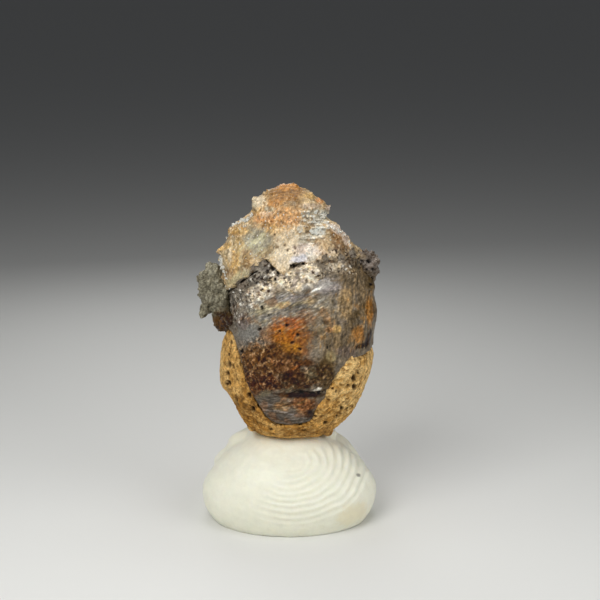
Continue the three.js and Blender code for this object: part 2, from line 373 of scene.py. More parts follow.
def rhomb(shape: bmesh.types.BMesh, size: float, stretch: float, aim: Vector, spin: float, place: Vector) -> None:
    """Add a calcite rhomb, a cube drawn out along one body diagonal.

    Args:
        shape: Mesh it is added to.
        size: Edge length in millimetres.
        stretch: How far it is drawn out.
        aim: Direction of its long diagonal.
        spin: Turn about that diagonal in radians.
        place: Its middle.
    """
    upright = Vector((1, 1, 1)).rotation_difference(Vector((0, 0, 1))).to_matrix().to_4x4()
    tipped = Vector((0, 0, 1)).rotation_difference(aim).to_matrix().to_4x4()
    drawn = Matrix.Diagonal((1, 1, stretch, 1))
    turn = Matrix.Rotation(spin, 4, "Z")
    bmesh.ops.create_cube(shape, size=size, matrix=Matrix.Translation(place) @ tipped @ turn @ drawn @ upright)


def lump(shape: bmesh.types.BMesh, reach: tuple[float, float, float], place: Vector, turn: float = 0.0) -> None:
    """Add a rounded lump.

    Args:
        shape: Mesh it is added to.
        reach: Half its size along each axis in millimetres.
        place: Its middle.
        turn: Turn about the depth axis in degrees.
    """
    spun = Matrix.Rotation(math.radians(turn), 4, "Y")
    matrix = Matrix.Translation(place) @ spun @ Matrix.Diagonal((*reach, 1))
    bmesh.ops.create_icosphere(shape, subdivisions=3, radius=1.0, matrix=matrix)


def trim(shape: bmesh.types.BMesh, height: float, keep_above: bool) -> None:
    """Cut a closed mesh level and close the cut.

    Args:
        shape: The mesh, in millimetres.
        height: Height of the cut.
        keep_above: Whether the part above it stays, or the part below.
    """
    everything = [*shape.verts, *shape.edges, *shape.faces]
    cut = bmesh.ops.bisect_plane(
        shape, geom=everything, dist=1e-5, plane_co=(0, 0, height), plane_no=(0, 0, 1),
        clear_inner=keep_above, clear_outer=not keep_above,
    )
    rim = [part for part in cut["geom_cut"] if isinstance(part, bmesh.types.BMEdge)]
    bmesh.ops.holes_fill(shape, edges=rim, sides=0)
    bmesh.ops.recalc_face_normals(shape, faces=shape.faces)


class Skin:
    """A closed mesh in millimetres that is fused, smoothed, pushed about and painted."""

    def __init__(self, node: str) -> None:
        """Start from a merged copy of a solid of the frame.

        Args:
            node: Name of the solid.
        """
        self.shape = bmesh.new()
        self.shape.from_mesh(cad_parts[node].data)
        bmesh.ops.remove_doubles(self.shape, verts=self.shape.verts, dist=1e-7)
        bmesh.ops.scale(self.shape, vec=Vector((1, 1, 1)) / METRES, verts=self.shape.verts)
        self.mesh: bpy.types.Mesh | None = None

    def fuse(self, grain: float) -> None:
        """Make one closed even skin of all that was put in.

        Args:
            grain: Size of its faces in millimetres.
        """
        rough = bpy.data.meshes.new("rough")
        self.shape.to_mesh(rough)
        self.shape.free()
        carrier = bpy.data.objects.new("carrier", rough)
        bpy.context.scene.collection.objects.link(carrier)
        fusing = carrier.modifiers.new("fusing", "REMESH")
        fusing.mode = "VOXEL"
        fusing.voxel_size = grain
        fusing.use_smooth_shade = True
        settled = carrier.evaluated_get(bpy.context.evaluated_depsgraph_get())
        self.mesh = bpy.data.meshes.new_from_object(settled)
        bpy.data.objects.remove(carrier)
        bpy.data.meshes.remove(rough)

    def points(self) -> Floats:
        """Return the places of all its points in millimetres."""
        flat = np.empty(3 * len(self.mesh.vertices))
        self.mesh.vertices.foreach_get("co", flat)
        return flat.reshape(-1, 3)

    def normals(self) -> Floats:
        """Return the outward direction at every point."""
        flat = np.empty(3 * len(self.mesh.vertices))
        self.mesh.vertex_normals.foreach_get("vector", flat)
        return flat.reshape(-1, 3)

    def move_to(self, points: Floats) -> None:
        """Put its points at new places.

        Args:
            points: New places in millimetres.
        """
        self.mesh.vertices.foreach_set("co", points.reshape(-1))
        self.mesh.update()

    def relax(self, rounds: int, share: Floats | float = 0.5) -> None:
        """Smooth it by moving each point towards the middle of its neighbours.

        Args:
            rounds: How many times.
            share: How far each time, all over or point by point.
        """
        flat = np.empty(2 * len(self.mesh.edges), dtype=np.int32)
        self.mesh.edges.foreach_get("vertices", flat)
        one, other = flat.reshape(-1, 2).T
        count = len(self.mesh.vertices)
        degree = np.bincount(one, minlength=count) + np.bincount(other, minlength=count)
        points = self.points()
        for _ in range(rounds):
            middle = np.empty_like(points)
            for axis in range(3):
                near = np.bincount(one, points[other, axis], count) + np.bincount(other, points[one, axis], count)
                middle[:, axis] = near / np.maximum(degree, 1)
            points += (middle - points) * np.reshape(share, (-1, 1))
        self.move_to(points)

    def push(self, distances: Floats) -> None:
        """Move every point outwards.

        Args:
            distances: How far for each point, in millimetres.
        """
        self.move_to(self.points() + self.normals() * distances[:, None])

    def draw_in(self, distances: Floats) -> None:
        """Move every point level towards the stone's upright axis.

        Args:
            distances: How far for each point, in millimetres.
        """
        points = self.points()
        level = points[:, :2] - np.array([0.3, 0.0])
        away = np.maximum(np.hypot(level[:, 0], level[:, 1]), 1e-6)
        points[:, :2] -= level * (np.minimum(distances, 0.6 * away) / away)[:, None]
        self.move_to(points)

    def tree(self) -> BVHTree:
        """Return a search tree of its faces in millimetres."""
        measured = bmesh.new()
        measured.from_mesh(self.mesh)
        found = BVHTree.FromBMesh(measured)
        measured.free()
        return found

    def piece(self, name: str, material: bpy.types.Material, nodes: Iterable[str] = ()) -> bpy.types.Object:
        """Finish it as a piece of the model, in metres.

        Args:
            name: The piece's name.
            material: Its finish.
            nodes: The solids it stands for.

        Returns:
            The finished object.
        """
        self.move_to(self.points() * METRES)
        self.mesh.name = name
        self.mesh.materials.clear()
        self.mesh.materials.append(material)
        return settle_piece(name, self.mesh, nodes)


def settle_piece(name: str, mesh: bpy.types.Mesh, nodes: Iterable[str] = ()) -> bpy.types.Object:
    """Add a finished mesh to the model.

    Args:
        name: The piece's name.
        mesh: Its mesh in metres, with its material.
        nodes: The solids it stands for.

    Returns:
        The object.
    """
    made = bpy.data.objects.new(name, mesh)
    bpy.context.scene.collection.objects.link(made)
    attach(made, "root")
    if nodes:
        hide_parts(*nodes)
    log.info("%s: %d faces", name, len(mesh.polygons))
    return made


class Canvas:
    """The stained colour, with painted shade and highlights, and the gloss of a skin, point by point."""

    def __init__(self, skin: Skin, ground: Shade, rough: float, seed: int, sheen: float = 0.015) -> None:
        """Lay a plain ground.

        Args:
            skin: The skin to paint.
            ground: Its first colour.
            rough: Its first roughness.
            seed: Which noise breaks the edges of patches.
            sheen: Light that the gloss adds, which is taken off the stain.
        """
        self.skin = skin
        self.sheen = sheen
        self.points = skin.points()
        self.across, self.up = VIEW.place(self.points)
        eye, ahead, _, _ = VIEW.axes()
        self.front = ramp(-(skin.normals() @ ahead), -0.1, 0.25)
        self.front[self.points[:, 1] > 1.8] = 0.0
        self.facing = ramp(-(skin.normals() @ ahead), 0.2, 0.55) * self.front
        self.back = (1.0 - self.front) * ramp(self.points[:, 1], -0.5, 1.0)
        self.far_across, self.far_up = VIEW.place(self.points * np.array([-1.0, -1.0, 1.0]))
        _, _, tint = cells(self.points, 0.17, seed + 2)
        self.ragged = 0.28 * fractal(self.points, 0.9, seed, 4) + 0.2 * fractal(self.points, 0.25, seed + 1, 2)
        self.ragged += 0.22 * (tint - 0.5)
        self.colour = np.tile(ground.seen(), (len(self.points), 1))
        self.rough = np.full(len(self.points), rough)

    def weight(self, patches: Iterable[Patch | Pit]) -> Floats:
        """Return the largest weight that any of the places has at each point of the front."""
        found = np.zeros(len(self.points))
        for patch in patches:
            found = np.maximum(found, patch.weight(self.across, self.up, self.ragged))
        return found * self.front

    def stain_and_light(self, weight: Floats, shade: Shade, rough: float | None = None) -> None:
        """Mix a colour in, for stains and for painted shade and highlights alike.

        Args:
            weight: How much at each point, from 0 to 1.
            shade: The colour.
            rough: Roughness that comes with it, if it has its own.
        """
        self.colour += (shade.seen() - self.colour) * weight[:, None]
        if rough is not None:
            self.rough += (rough - self.rough) * weight

    def lay(self, patches: Iterable[Patch], share: Floats | float = 1.0) -> None:
        """Mix patches in, one over the other.

        Args:
            patches: The patches, the lowest first.
            share: How much of them may show at each point.
        """
        for patch in patches:
            self.stain_and_light(patch.weight(self.across, self.up, self.ragged) * self.front * share, patch.shade)

    def lay_behind(self, patches: Iterable[Patch], right: float, rise: float) -> None:
        """Mix patches into the far side, where they follow the view from behind.

        Args:
            patches: The patches, the lowest first.
            right: How far they are moved to the right, in millimetres.
            rise: How far they are moved up, in millimetres.
        """
        across, up = self.far_across - right, self.far_up - rise
        for patch in patches:
            self.stain_and_light(patch.weight(across, up, 1.6 * self.ragged) * self.back, patch.shade)

    def shade(self, factor: Floats) -> None:
        """Make the colour lighter or darker by a factor at each point."""
        self.colour *= factor[:, None]

    def dry(self) -> None:
        """Write the stained colour, painted shade and highlights included, and the roughness to the mesh."""
        mesh = self.skin.mesh
        stain_and_light = mesh.attributes.new("stain_and_light", "FLOAT_COLOR", "POINT")
        opaque = np.ones((len(self.points), 1))
        light = np.maximum(to_light(self.colour) - self.sheen, 0.003)
        stain_and_light.data.foreach_set("color", np.hstack([light, opaque]).reshape(-1))
        rough = mesh.attributes.new("roughness", "FLOAT", "POINT")
        rough.data.foreach_set("value", np.clip(self.rough, 0.08, 1.0))


class Recipe:
    """A material while its nodes are being joined."""

    def __init__(self, name: str) -> None:
        """Start a plain material.

        Args:
            name: The material's name.
        """
        self.made = bpy.data.materials.new(name)
        self.made.use_nodes = True
        self.shader = self.made.node_tree.nodes["Principled BSDF"]
        self.place = self.add("ShaderNodeTexCoord").outputs["Object"]

    def add(self, kind: str) -> bpy.types.Node:
        """Add a node of one kind."""
        return self.made.node_tree.nodes.new(kind)

    def join(self, source: bpy.types.NodeSocket, target: bpy.types.NodeSocket) -> None:
        """Join one node's output to another's input."""
        self.made.node_tree.links.new(source, target)

    def noise(self, size: float, detail: float = 4.0) -> bpy.types.NodeSocket:
        """Return soft noise with lumps of a size in millimetres."""
        node = self.add("ShaderNodeTexNoise")
        node.inputs["Scale"].default_value = 1.0 / (size * METRES)
        node.inputs["Detail"].default_value = detail
        node.inputs["Roughness"].default_value = 0.65
        self.join(self.place, node.inputs["Vector"])
        return node.outputs["Fac"]

    def grains(self, size: float, stretch: float = 1.0, turn: float = 0.0) -> bpy.types.Node:
        """Split the surface into grains.

        Args:
            size: Their width in millimetres.
            stretch: How much longer than wide they are.
            turn: Direction of their length in degrees from level, anticlockwise from in front.

        Returns:
            A node that gives each grain a colour and the distance from its middle.
        """
        turned = self.add("ShaderNodeMapping")
        turned.vector_type = "TEXTURE"
        turned.inputs["Rotation"].default_value = (0.0, -math.radians(turn), 0.0)
        turned.inputs["Scale"].default_value = (stretch, 1.0, 1.0)
        self.join(self.place, turned.inputs["Vector"])
        node = self.add("ShaderNodeTexVoronoi")
        node.inputs["Scale"].default_value = 1.0 / (size * METRES)
        self.join(turned.outputs["Vector"], node.inputs["Vector"])
        return node

    def spread(
        self, source: bpy.types.NodeSocket, low: float, high: float, span: tuple[float, float] = (0.0, 1.0)
    ) -> bpy.types.NodeSocket:
        """Map a value to another range.

        Args:
            source: The value.
            low: What the start of the span becomes.
            high: What the end of the span becomes.
            span: The values it is mapped from.

        Returns:
            The mapped value.
        """
        node = self.add("ShaderNodeMapRange")
        node.inputs["From Min"].default_value = span[0]
        node.inputs["From Max"].default_value = span[1]
        node.inputs["To Min"].default_value = low
        node.inputs["To Max"].default_value = high
        self.join(source, node.inputs["Value"])
        return node.outputs["Result"]

    def combine(self, way: str, one: bpy.types.NodeSocket, other: bpy.types.NodeSocket) -> bpy.types.NodeSocket:
        """Add or multiply two values.

        Args:
            way: ADD or MULTIPLY.
            one: The first value.
            other: The second value.

        Returns:
            The sum or the product.
        """
        node = self.add("ShaderNodeMath")
        node.operation = way
        self.join(one, node.inputs[0])
        self.join(other, node.inputs[1])
        return node.outputs["Value"]

    def scaled(self, colour: bpy.types.NodeSocket, factor: bpy.types.NodeSocket) -> bpy.types.NodeSocket:
        """Return a colour made lighter or darker by a factor."""
        node = self.add("ShaderNodeVectorMath")
        node.operation = "SCALE"
        self.join(colour, node.inputs["Vector"])
        self.join(factor, node.inputs["Scale"])
        return node.outputs["Vector"]

    def attribute(self, name: str) -> bpy.types.Node:
        """Return a node that reads what the skin carries under a name."""
        node = self.add("ShaderNodeAttribute")
        node.attribute_name = name
        return node

    def bump(
        self, height: bpy.types.NodeSocket, depth: float, under: bpy.types.NodeSocket | None = None
    ) -> bpy.types.NodeSocket:
        """Tilt the surface by a relief.

        Args:
            height: The relief from 0 to 1.
            depth: How deep it is in millimetres.
            under: A tilt it is added to.

        Returns:
            The tilted direction.
        """
        node = self.add("ShaderNodeBump")
        node.inputs["Distance"].default_value = depth * METRES
        self.join(height, node.inputs["Height"])
        if under is not None:
            self.join(under, node.inputs["Normal"])
        return node.outputs["Normal"]

    def settle(self, **values: float | tuple[float, ...]) -> bpy.types.Material:
        """Set even values on the shader and return the material.

        Args:
            values: Socket names in lower case, with a low line for each space, and their values.

        Returns:
            The finished material.
        """
        for socket in self.shader.inputs:
            value = values.get(socket.name.lower().replace(" ", "_"))
            if value is not None:
                socket.default_value = value
        return self.made


@dataclass(frozen=True)
class StoneFinish:
    """A stained mineral surface: the skin's own stained colour with its painted shade and light, broken by fine grain,
    with grain relief and lustre.
    """

    name: str
    grain: float = 0.12
    fine_grain: float = 0.06
    contrast: float = 0.3
    speck: float = 0.2
    stretch: float = 1.0
    turn: float = 0.0
    relief: float = 0.012
    fine_relief: float = 0.006
    lustre: float = 0.0
    glow: float = 0.0
    glow_depth: float = 0.4
    shine: float = 0.5

    def material(self) -> bpy.types.Material:
        """Build the material.

        Returns:
            A material that reads the stain and roughness of the skin and Object coordinates.
        """
        recipe = Recipe(self.name)
        soft = recipe.noise(self.grain)
        grains = recipe.grains(self.fine_grain, self.stretch, self.turn)
        clouded = recipe.spread(soft, 1.0 - self.contrast, 1.0 + self.contrast, (0.3, 0.7))
        tinted = recipe.spread(grains.outputs["Color"], 1.0 - self.speck, 1.0 + self.speck, (0.15, 0.85))
        edged = recipe.spread(grains.outputs["Distance"], 1.0 + 0.6 * self.speck, 1.0 - 0.6 * self.speck)
        light = recipe.combine("MULTIPLY", recipe.combine("MULTIPLY", clouded, tinted), edged)
        recipe.join(recipe.scaled(recipe.attribute("stain_and_light").outputs["Color"], light), recipe.shader.inputs["Base Color"])

        uneven = recipe.spread(soft, -0.14, 0.14)
        worn = recipe.combine("ADD", recipe.attribute("roughness").outputs["Fac"], uneven)
        recipe.join(worn, recipe.shader.inputs["Roughness"])
        broad = recipe.bump(soft, self.relief)
        recipe.join(recipe.bump(grains.outputs["Distance"], self.fine_relief, broad), recipe.shader.inputs["Normal"])
        return recipe.settle(
            specular_ior_level=self.shine,
            coat_weight=self.lustre,
            coat_roughness=0.22,
            subsurface_weight=self.glow,
            subsurface_radius=(1.0, 0.85, 0.6),
            subsurface_scale=self.glow_depth * METRES,
            ior=1.5,
        )


@dataclass(frozen=True)
class CrustEdge:
    """The ragged lower edge of the pale crust: places in the front view, and heights along the back."""

    front: tuple[tuple[float, float], ...] = (
        (-6.2, 16.6), (-4.9, 17.03), (-4.35, 17.5), (-3.75, 17.93), (-3.3, 18.2), (-3.0, 18.64), (-2.1, 19.35),
        (-1.8, 19.54), (-1.5, 19.28), (-1.2, 18.83), (-0.83, 18.38), (-0.45, 18.26), (-0.15, 18.53), (0.0, 19.09),
        (1.05, 19.24), (1.65, 19.05), (2.55, 18.95), (3.45, 19.28), (4.65, 19.58), (5.4, 19.7), (6.4, 20.0),
    )
    back: tuple[tuple[float, float], ...] = (
        (-6.2, 17.4), (-4.9, 17.7), (-2.8, 17.9), (-1.2, 18.6), (0.4, 18.9), (1.8, 19.9), (3.6, 20.2), (5.4, 20.4), (6.4, 20.6),
    )

    def above(self, points: Floats) -> Floats:
        """Return how far each point lies above the edge, in millimetres."""
        across, up = VIEW.place(points)
        front = up - np.interp(across, *zip(*self.front))
        back = points[:, 2] - np.interp(points[:, 0], *zip(*self.back))
        behind = ramp(points[:, 1], -0.6, 0.6)
        ragged = 0.13 * fractal(points, 0.6, 3) + 0.06 * fractal(points, 0.2, 4)
        return front + (back - front) * behind + ragged


@dataclass(frozen=True)
class Form:
    """A rounded lump that the front view shows somewhere."""

    across: float
    up: float
    reach: tuple[float, float, float]
    depth: float = 0.0
    turn: float = 0.0

    def add_to(self, shape: bmesh.types.BMesh) -> None:
        """Add the lump to a mesh."""
        lump(shape, self.reach, VIEW.at(self.across, self.up, self.depth), self.turn)


@dataclass(frozen=True)
class Tooth:
    """A pointed crystal that the front view shows somewhere."""

    across: float
    up: float
    size: float
    stretch: float
    aim: tuple[float, float, float]
    depth: float = 0.0
    spin: float = 0.0

    def add_to(self, shape: bmesh.types.BMesh) -> None:
        """Add the crystal to a mesh."""
        rhomb(shape, self.size, self.stretch, Vector(self.aim), self.spin, VIEW.at(self.across, self.up, self.depth))


@dataclass
class CrownCrust:
    """The pale crust of intergrown crystals over the crown."""

    grain: float = 0.072
    edge: CrustEdge = CrustEdge()
    finish: StoneFinish = StoneFinish(
        "pale_crust", grain=0.14, fine_grain=0.095, contrast=0.2, speck=0.22, stretch=1.8, turn=80.0, relief=0.03,
        fine_relief=0.022, lustre=0.12, glow=0.08, shine=0.35,
    )
    cap_centre: tuple[float, float] = (-0.3, 22.4)
    forms: tuple[Form | Tooth, ...] = (
        Form(-0.3, 24.4, (1.05, 1.0, 0.72)),
        Form(-2.15, 23.65, (0.5, 0.6, 0.36), 0.0, 20),
        Form(1.5, 23.85, (0.62, 0.7, 0.42), 0.0, 25),
        Form(2.1, 23.5, (0.36, 0.5, 0.26), 0.0, 35),
        Tooth(2.72, 23.25, 0.4, 1.5, (1.0, -0.2, -0.35), 0.0, 0.9),
        Tooth(-4.75, 20.2, 0.6, 1.7, (-1.0, -0.2, -0.2), 0.0, 0.4),
        Form(-4.2, 21.45, (0.5, 0.6, 0.4), 0.0, 20),
        Form(3.2, 21.6, (0.25, 0.4, 0.16), -0.6, 30),
        Form(3.75, 21.3, (0.24, 0.4, 0.16), -0.4, 40),
        Form(4.15, 20.9, (0.18, 0.4, 0.22), -0.3, 60),
    )
    stains: tuple[Patch, ...] = (
        Patch(-3.75, 19.72, 1.35, 1.95, Shade.TAN_CRUST),
        Patch(-2.4, 20.85, 1.2, 1.12, Shade.LICHEN_GREY, 0.85, 30),
        Patch(-2.7, 20.7, 0.67, 0.22, Shade.STRAW, 0.7, 50),
        Patch(-2.1, 21.22, 0.6, 0.19, Shade.STRAW, 0.5, 55),
        Patch(-3.75, 20.55, 0.38, 0.67, Shade.OCHRE, 0.5, 20),
        Patch(-4.2, 19.27, 0.45, 0.9, Shade.OCHRE, 0.85),
        Patch(-4.5, 19.72, 0.15, 0.67, Shade.CREAM, 0.7),
        Patch(-4.5, 18.38, 0.45, 0.45, Shade.UMBER, 0.6, 30),
        Patch(-3.82, 18.15, 1.12, 0.38, Shade.STRAW, 0.5, 32),
        Patch(-2.48, 19.5, 1.05, 0.38, Shade.BUFF, 0.7, 38),
        Patch(-3.23, 19.57, 0.38, 0.67, Shade.CAP_BROWN, 0.5, -15),
        Patch(-3.9, 21.6, 0.75, 0.3, Shade.OCHRE, 0.9),
        Patch(-4.95, 20.4, 0.67, 0.22, Shade.OCHRE, 0.8, 25),
        Patch(-0.82, 22.65, 1.88, 1.05, Shade.ORANGE, 0.95),
        Patch(-2.02, 22.43, 0.75, 0.25, Shade.BURNT_ORANGE, 0.5),
        Patch(0.22, 22.35, 0.6, 0.3, Shade.BURNT_ORANGE, 0.4),
        Patch(-1.05, 21.68, 0.6, 0.45, Shade.OCHRE, 0.7),
        Patch(-2.55, 23.18, 0.45, 0.22, Shade.OCHRE, 0.7),
        Patch(-0.3, 24.45, 1.43, 0.97, Shade.CAP_BROWN, 0.95),
        Patch(-0.22, 24.97, 1.2, 0.3, Shade.CAP_EDGE, 0.9),
        Patch(-1.05, 23.7, 0.6, 0.3, Shade.CAP_EDGE, 0.8),
        Patch(0.0, 23.7, 0.6, 0.22, Shade.GLASS_GREY, 0.4),
        Patch(-1.57, 23.25, 0.45, 0.22, Shade.LICHEN_GREY, 0.8),
        Patch(-1.8, 22.88, 0.45, 0.22, Shade.PINK_WHITE, 0.5),
        Patch(-2.4, 23.77, 0.6, 0.45, Shade.CREAM, 0.8),
        Patch(-2.7, 23.55, 0.22, 0.45, Shade.LICHEN_GREY, 0.6),
        Patch(1.8, 23.93, 1.05, 0.67, Shade.BUFF, 0.9),
        Patch(1.5, 24.22, 0.53, 0.22, Shade.OCHRE, 0.7),
        Patch(2.25, 23.93, 0.3, 0.3, Shade.BURNT_ORANGE, 0.9),
        Patch(1.65, 23.47, 0.75, 0.22, Shade.PINK_WHITE, 0.5),
        Patch(3.07, 23.32, 0.38, 0.3, Shade.PINK_WHITE, 0.9),
        Patch(-0.07, 20.25, 1.27, 1.65, Shade.CREAM, 0.95),
        Patch(-0.45, 20.93, 0.38, 0.6, Shade.BUFF, 0.5),
        Patch(1.95, 22.65, 1.05, 0.6, Shade.GLASS_GREY, 0.95),
        Patch(1.35, 22.88, 0.22, 0.22, Shade.ICE, 0.8),
        Patch(2.55, 22.95, 0.38, 0.22, Shade.ICE, 0.7),
        Patch(1.2, 20.93, 0.6, 0.53, Shade.GLASS_GREY),
        Patch(2.17, 21.6, 0.6, 0.53, Shade.ICE, 0.95),
        Patch(0.75, 21.75, 0.22, 0.38, Shade.ICE, 0.7),
        Patch(1.2, 20.25, 0.82, 0.45, Shade.PINK_WHITE),
        Patch(0.75, 19.43, 0.67, 0.38, Shade.LAVENDER, 0.9, 15),
        Patch(1.8, 19.95, 0.6, 0.67, Shade.WHITE, 0.65),
        Patch(2.55, 20.18, 0.67, 0.82, Shade.PINK_WHITE, 0.5),
        Patch(2.77, 20.7, 0.67, 0.6, Shade.BUFF, 0.7),
        Patch(3.9, 20.55, 0.53, 1.12, Shade.UMBER, 0.9, 35),
        Patch(3.52, 21.3, 0.38, 0.53, Shade.CAP_BROWN, 0.9, 20),
        Patch(3.6, 21.68, 0.9, 0.3, Shade.PINK_WHITE, 0.9, -32),
        Patch(3.07, 21.97, 0.45, 0.22, Shade.WHITE, 0.5, -20),
        Patch(4.2, 20.93, 0.22, 0.45, Shade.PINK_WHITE, 0.8, 20),
        Patch(3.23, 19.2, 1.35, 0.53, Shade.SHOULDER, 0.8),
        Patch(4.5, 19.65, 0.82, 0.6, Shade.SHOULDER),
    )
    rows: tuple[Patch, ...] = (
        Patch(-0.8, 22.6, 2.0, 1.15, Shade.ORANGE, 1.0),
        Patch(-3.9, 21.6, 0.9, 0.5, Shade.ORANGE, 0.8),
    )
    terraces: tuple[Patch, ...] = (
        Patch(1.95, 22.1, 1.15, 1.25, Shade.ICE, 1.0),
        Patch(1.3, 21.0, 0.75, 0.65, Shade.ICE, 0.6),
    )
    calm: tuple[Patch, ...] = (
        Patch(-2.4, 20.8, 1.4, 1.3, Shade.STRAW, 1.0, 30),
        Patch(-0.3, 24.4, 1.5, 0.9, Shade.CAP_BROWN, 0.7),
        Patch(0.0, 20.0, 1.4, 1.6, Shade.CREAM, 0.9),
    )
    shoulder: tuple[Patch, ...] = (
        Patch(3.9, 19.8, 1.5, 0.5, Shade.SHOULDER, 1.0, 10),
    )
    # Small pits carved into the crust, then darkened with painted shade.
    specks: tuple[Pit, ...] = (
        Pit(2.1, 19.3, 0.1, 0.16, 1.7),
        Pit(-0.4, 20.55, 0.09, 0.12),
        Pit(-0.18, 20.15, 0.09, 0.12, 1.4),
        Pit(0.38, 20.35, 0.1, 0.12, 1.6, 20),
        Pit(0.34, 19.95, 0.08, 0.1),
        Pit(-0.38, 23.7, 0.07, 0.1, 0.8),
        Pit(-0.62, 24.4, 0.06, 0.1, 0.8),
        Pit(2.1, 20.5, 0.07, 0.1),
        Pit(-1.15, 21.35, 0.08, 0.1, 1.4, 30),
    )
    hollows: tuple[Hollow, ...] = (
        Hollow(-2.3, 20.9, 1.3, 1.0, 0.34, 35),
        Hollow(1.7, 22.2, 0.8, 0.9, 0.3),
        Hollow(1.2, 20.9, 0.6, 0.5, 0.15),
        Hollow(-0.6, 22.4, 1.5, 0.9, -0.1),
        Hollow(3.7, 20.6, 0.5, 1.4, -0.12, 35),
        Hollow(-0.2, 20.2, 0.7, 1.4, -0.12),
        Hollow(-4.5, 19.9, 0.16, 1.0, -0.14),
    )
    notches: tuple[Hollow, ...] = (
        Hollow(-3.1, 22.95, 0.45, 0.5, 0.32),
        Hollow(-2.4, 24.5, 0.5, 0.4, 0.3),
        Hollow(2.3, 24.45, 0.7, 0.45, 0.42, -35),
        Hollow(1.1, 25.0, 0.5, 0.35, 0.4, -30),
        Hollow(3.15, 22.7, 0.4, 0.45, 0.22),
        Hollow(4.2, 21.9, 0.6, 0.4, 0.16, -35),
        Hollow(-4.95, 21.3, 0.3, 0.5, 0.1),
    )

    def build(self) -> BVHTree:
        """Build, stain and finish the crust.

        Returns:
            A search tree of its faces in millimetres, for the small crystals that sit on it.
        """
        skin = Skin("spiral_calcite")
        trim(skin.shape, 16.2, True)
        for form in self.forms:
            form.add_to(skin.shape)
        skin.fuse(self.grain)
        skin.relax(5, 0.5)
        above = self.edge.above(skin.points())
        relief, tone = self.carve(skin, above)
        self.paint(skin, relief, tone)
        found = skin.tree()
        skin.piece("crown_crust", self.finish.material(), ["spiral_calcite"])
        return found

    def carve(self, skin: Skin, above: Floats) -> tuple[Floats, Floats]:
        """Give the crust its relief, and tuck it under the dark stone below its edge.

        Args:
            skin: The fused crust.
            above: How far each point lies above the edge.

        Returns:
            How far each point stands out in the fine relief, and a number from 0 to 1 for the crystal it is on.
        """
        canvas = Canvas(skin, Shade.BUFF, 0.4, 11)
        points, across, up, front = canvas.points, canvas.across, canvas.up, canvas.front
        calm = canvas.weight(self.calm)
        terraces = canvas.weight(self.terraces)
        rows = canvas.weight(self.rows)
        broken, tone = plates(points, 0.52, 22, (1.0, 1.0, 0.75))
        small, _ = plates(points, 0.23, 23)
        bars, _, blocks = cells(points, 0.26, 24, (0.8, 0.8, 1.5))
        grains, _, _ = cells(points, 0.3, 26)
        rough = 1.0 - 0.75 * np.maximum(calm, terraces)
        fine = rough * (0.045 * broken + 0.03 * small + 0.03 * (grains - 0.6) * (1.0 - rows))
        fine += rows * (0.07 * (bars - 0.6) + 0.04 * (blocks - 0.5) + 0.03 * small)
        fine += terraces * (0.11 * (1.0 - self.stair(points, up)) - 0.05 + 0.04 * broken)
        fine += calm * 0.035 * streaks(points, 48, 1.2, 0.24, 27)
        arc = np.hypot((across - self.cap_centre[0]) / 1.2, up - self.cap_centre[1])
        cap = ramp(up, 23.6, 24.1) * ramp(np.abs(across + 0.2), 1.6, 1.1)
        fine += cap * 0.026 * np.sin(2.0 * math.pi * arc / 0.22 + 2.0 * fractal(points, 0.7, 28))
        relief = fine + 0.05 * fractal(points, 1.1, 21, 4)
        relief += canvas.back * (0.12 * (1.0 - self.stair(0.5 * points, 0.5 * canvas.far_up)) - 0.06)
        for hollow in self.hollows:
            relief -= hollow.depths(across, up) * front
        for speck in self.specks:
            relief -= speck.depth * speck.weight(across, up, canvas.ragged) * front
        lip = ramp(above, 0.35, 0.0) * ramp(above, -0.1, 0.05)
        relief += 0.07 * lip
        tucked = ramp(above, 0.06, -0.22)
        skin.push(relief * (1.0 - tucked))
        notched = sum(notch.depths(across, up) for notch in self.notches)
        skin.draw_in(0.8 * tucked + 1.2 * notched * ramp(np.abs(points[:, 1]), 3.0, 1.5))
        return fine, tone

    def stair(self, points: Floats, up: Floats) -> Floats:
        """Return how far up its own step each place is, from 0 at a step's lip to 1."""
        _, _, block = cells(points, 0.75, 29)
        climbed = (up + 0.12 * fractal(points, 0.7, 25, 3)) / 0.42 + block
        return climbed - np.floor(climbed)

    def paint(self, skin: Skin, relief: Floats, tone: Floats) -> None:
        """Stain the crust, and paint shade and light that follow its relief, glints on its grains, highlights and shade
        on its steps and blocks, and shade in its pits.

        Args:
            skin: The carved crust.
            relief: How far each point stands out in the fine relief.
            tone: A number from 0 to 1 for the crystal each point is on.
        """
        canvas = Canvas(skin, Shade.BUFF, 0.42, 11, 0.005)
        points = canvas.points
        _, _, grain = cells(points, 0.16, 31, (0.8, 0.8, 1.4))
        mottle = fractal(points, 0.75, 33, 4)
        fine = fractal(points, 0.2, 34, 3)
        canvas.stain_and_light(ramp(mottle, 0.1, 0.5) * 0.6, Shade.CREAM)
        canvas.stain_and_light(ramp(-mottle, 0.15, 0.5) * 0.5, Shade.UMBER)
        canvas.lay_behind(self.stains, 0.7, 0.4)
        canvas.lay(self.stains)
        canvas.shade(0.88 + 0.08 * tone + 0.07 * fine)
        open_place = 1.0 - 0.8 * canvas.weight(self.calm)
        # Glossy cream flecks on single grains are painted glints.
        canvas.stain_and_light(open_place * ramp(grain, 0.88, 0.92) * 0.5, Shade.CREAM, 0.2)
        canvas.stain_and_light(open_place * ramp(grain, 0.18, 0.1) * 0.6, Shade.UMBER, 0.6)
        rows = canvas.weight(self.rows)
        bars, _, blocks = cells(points, 0.26, 24, (0.8, 0.8, 1.5))
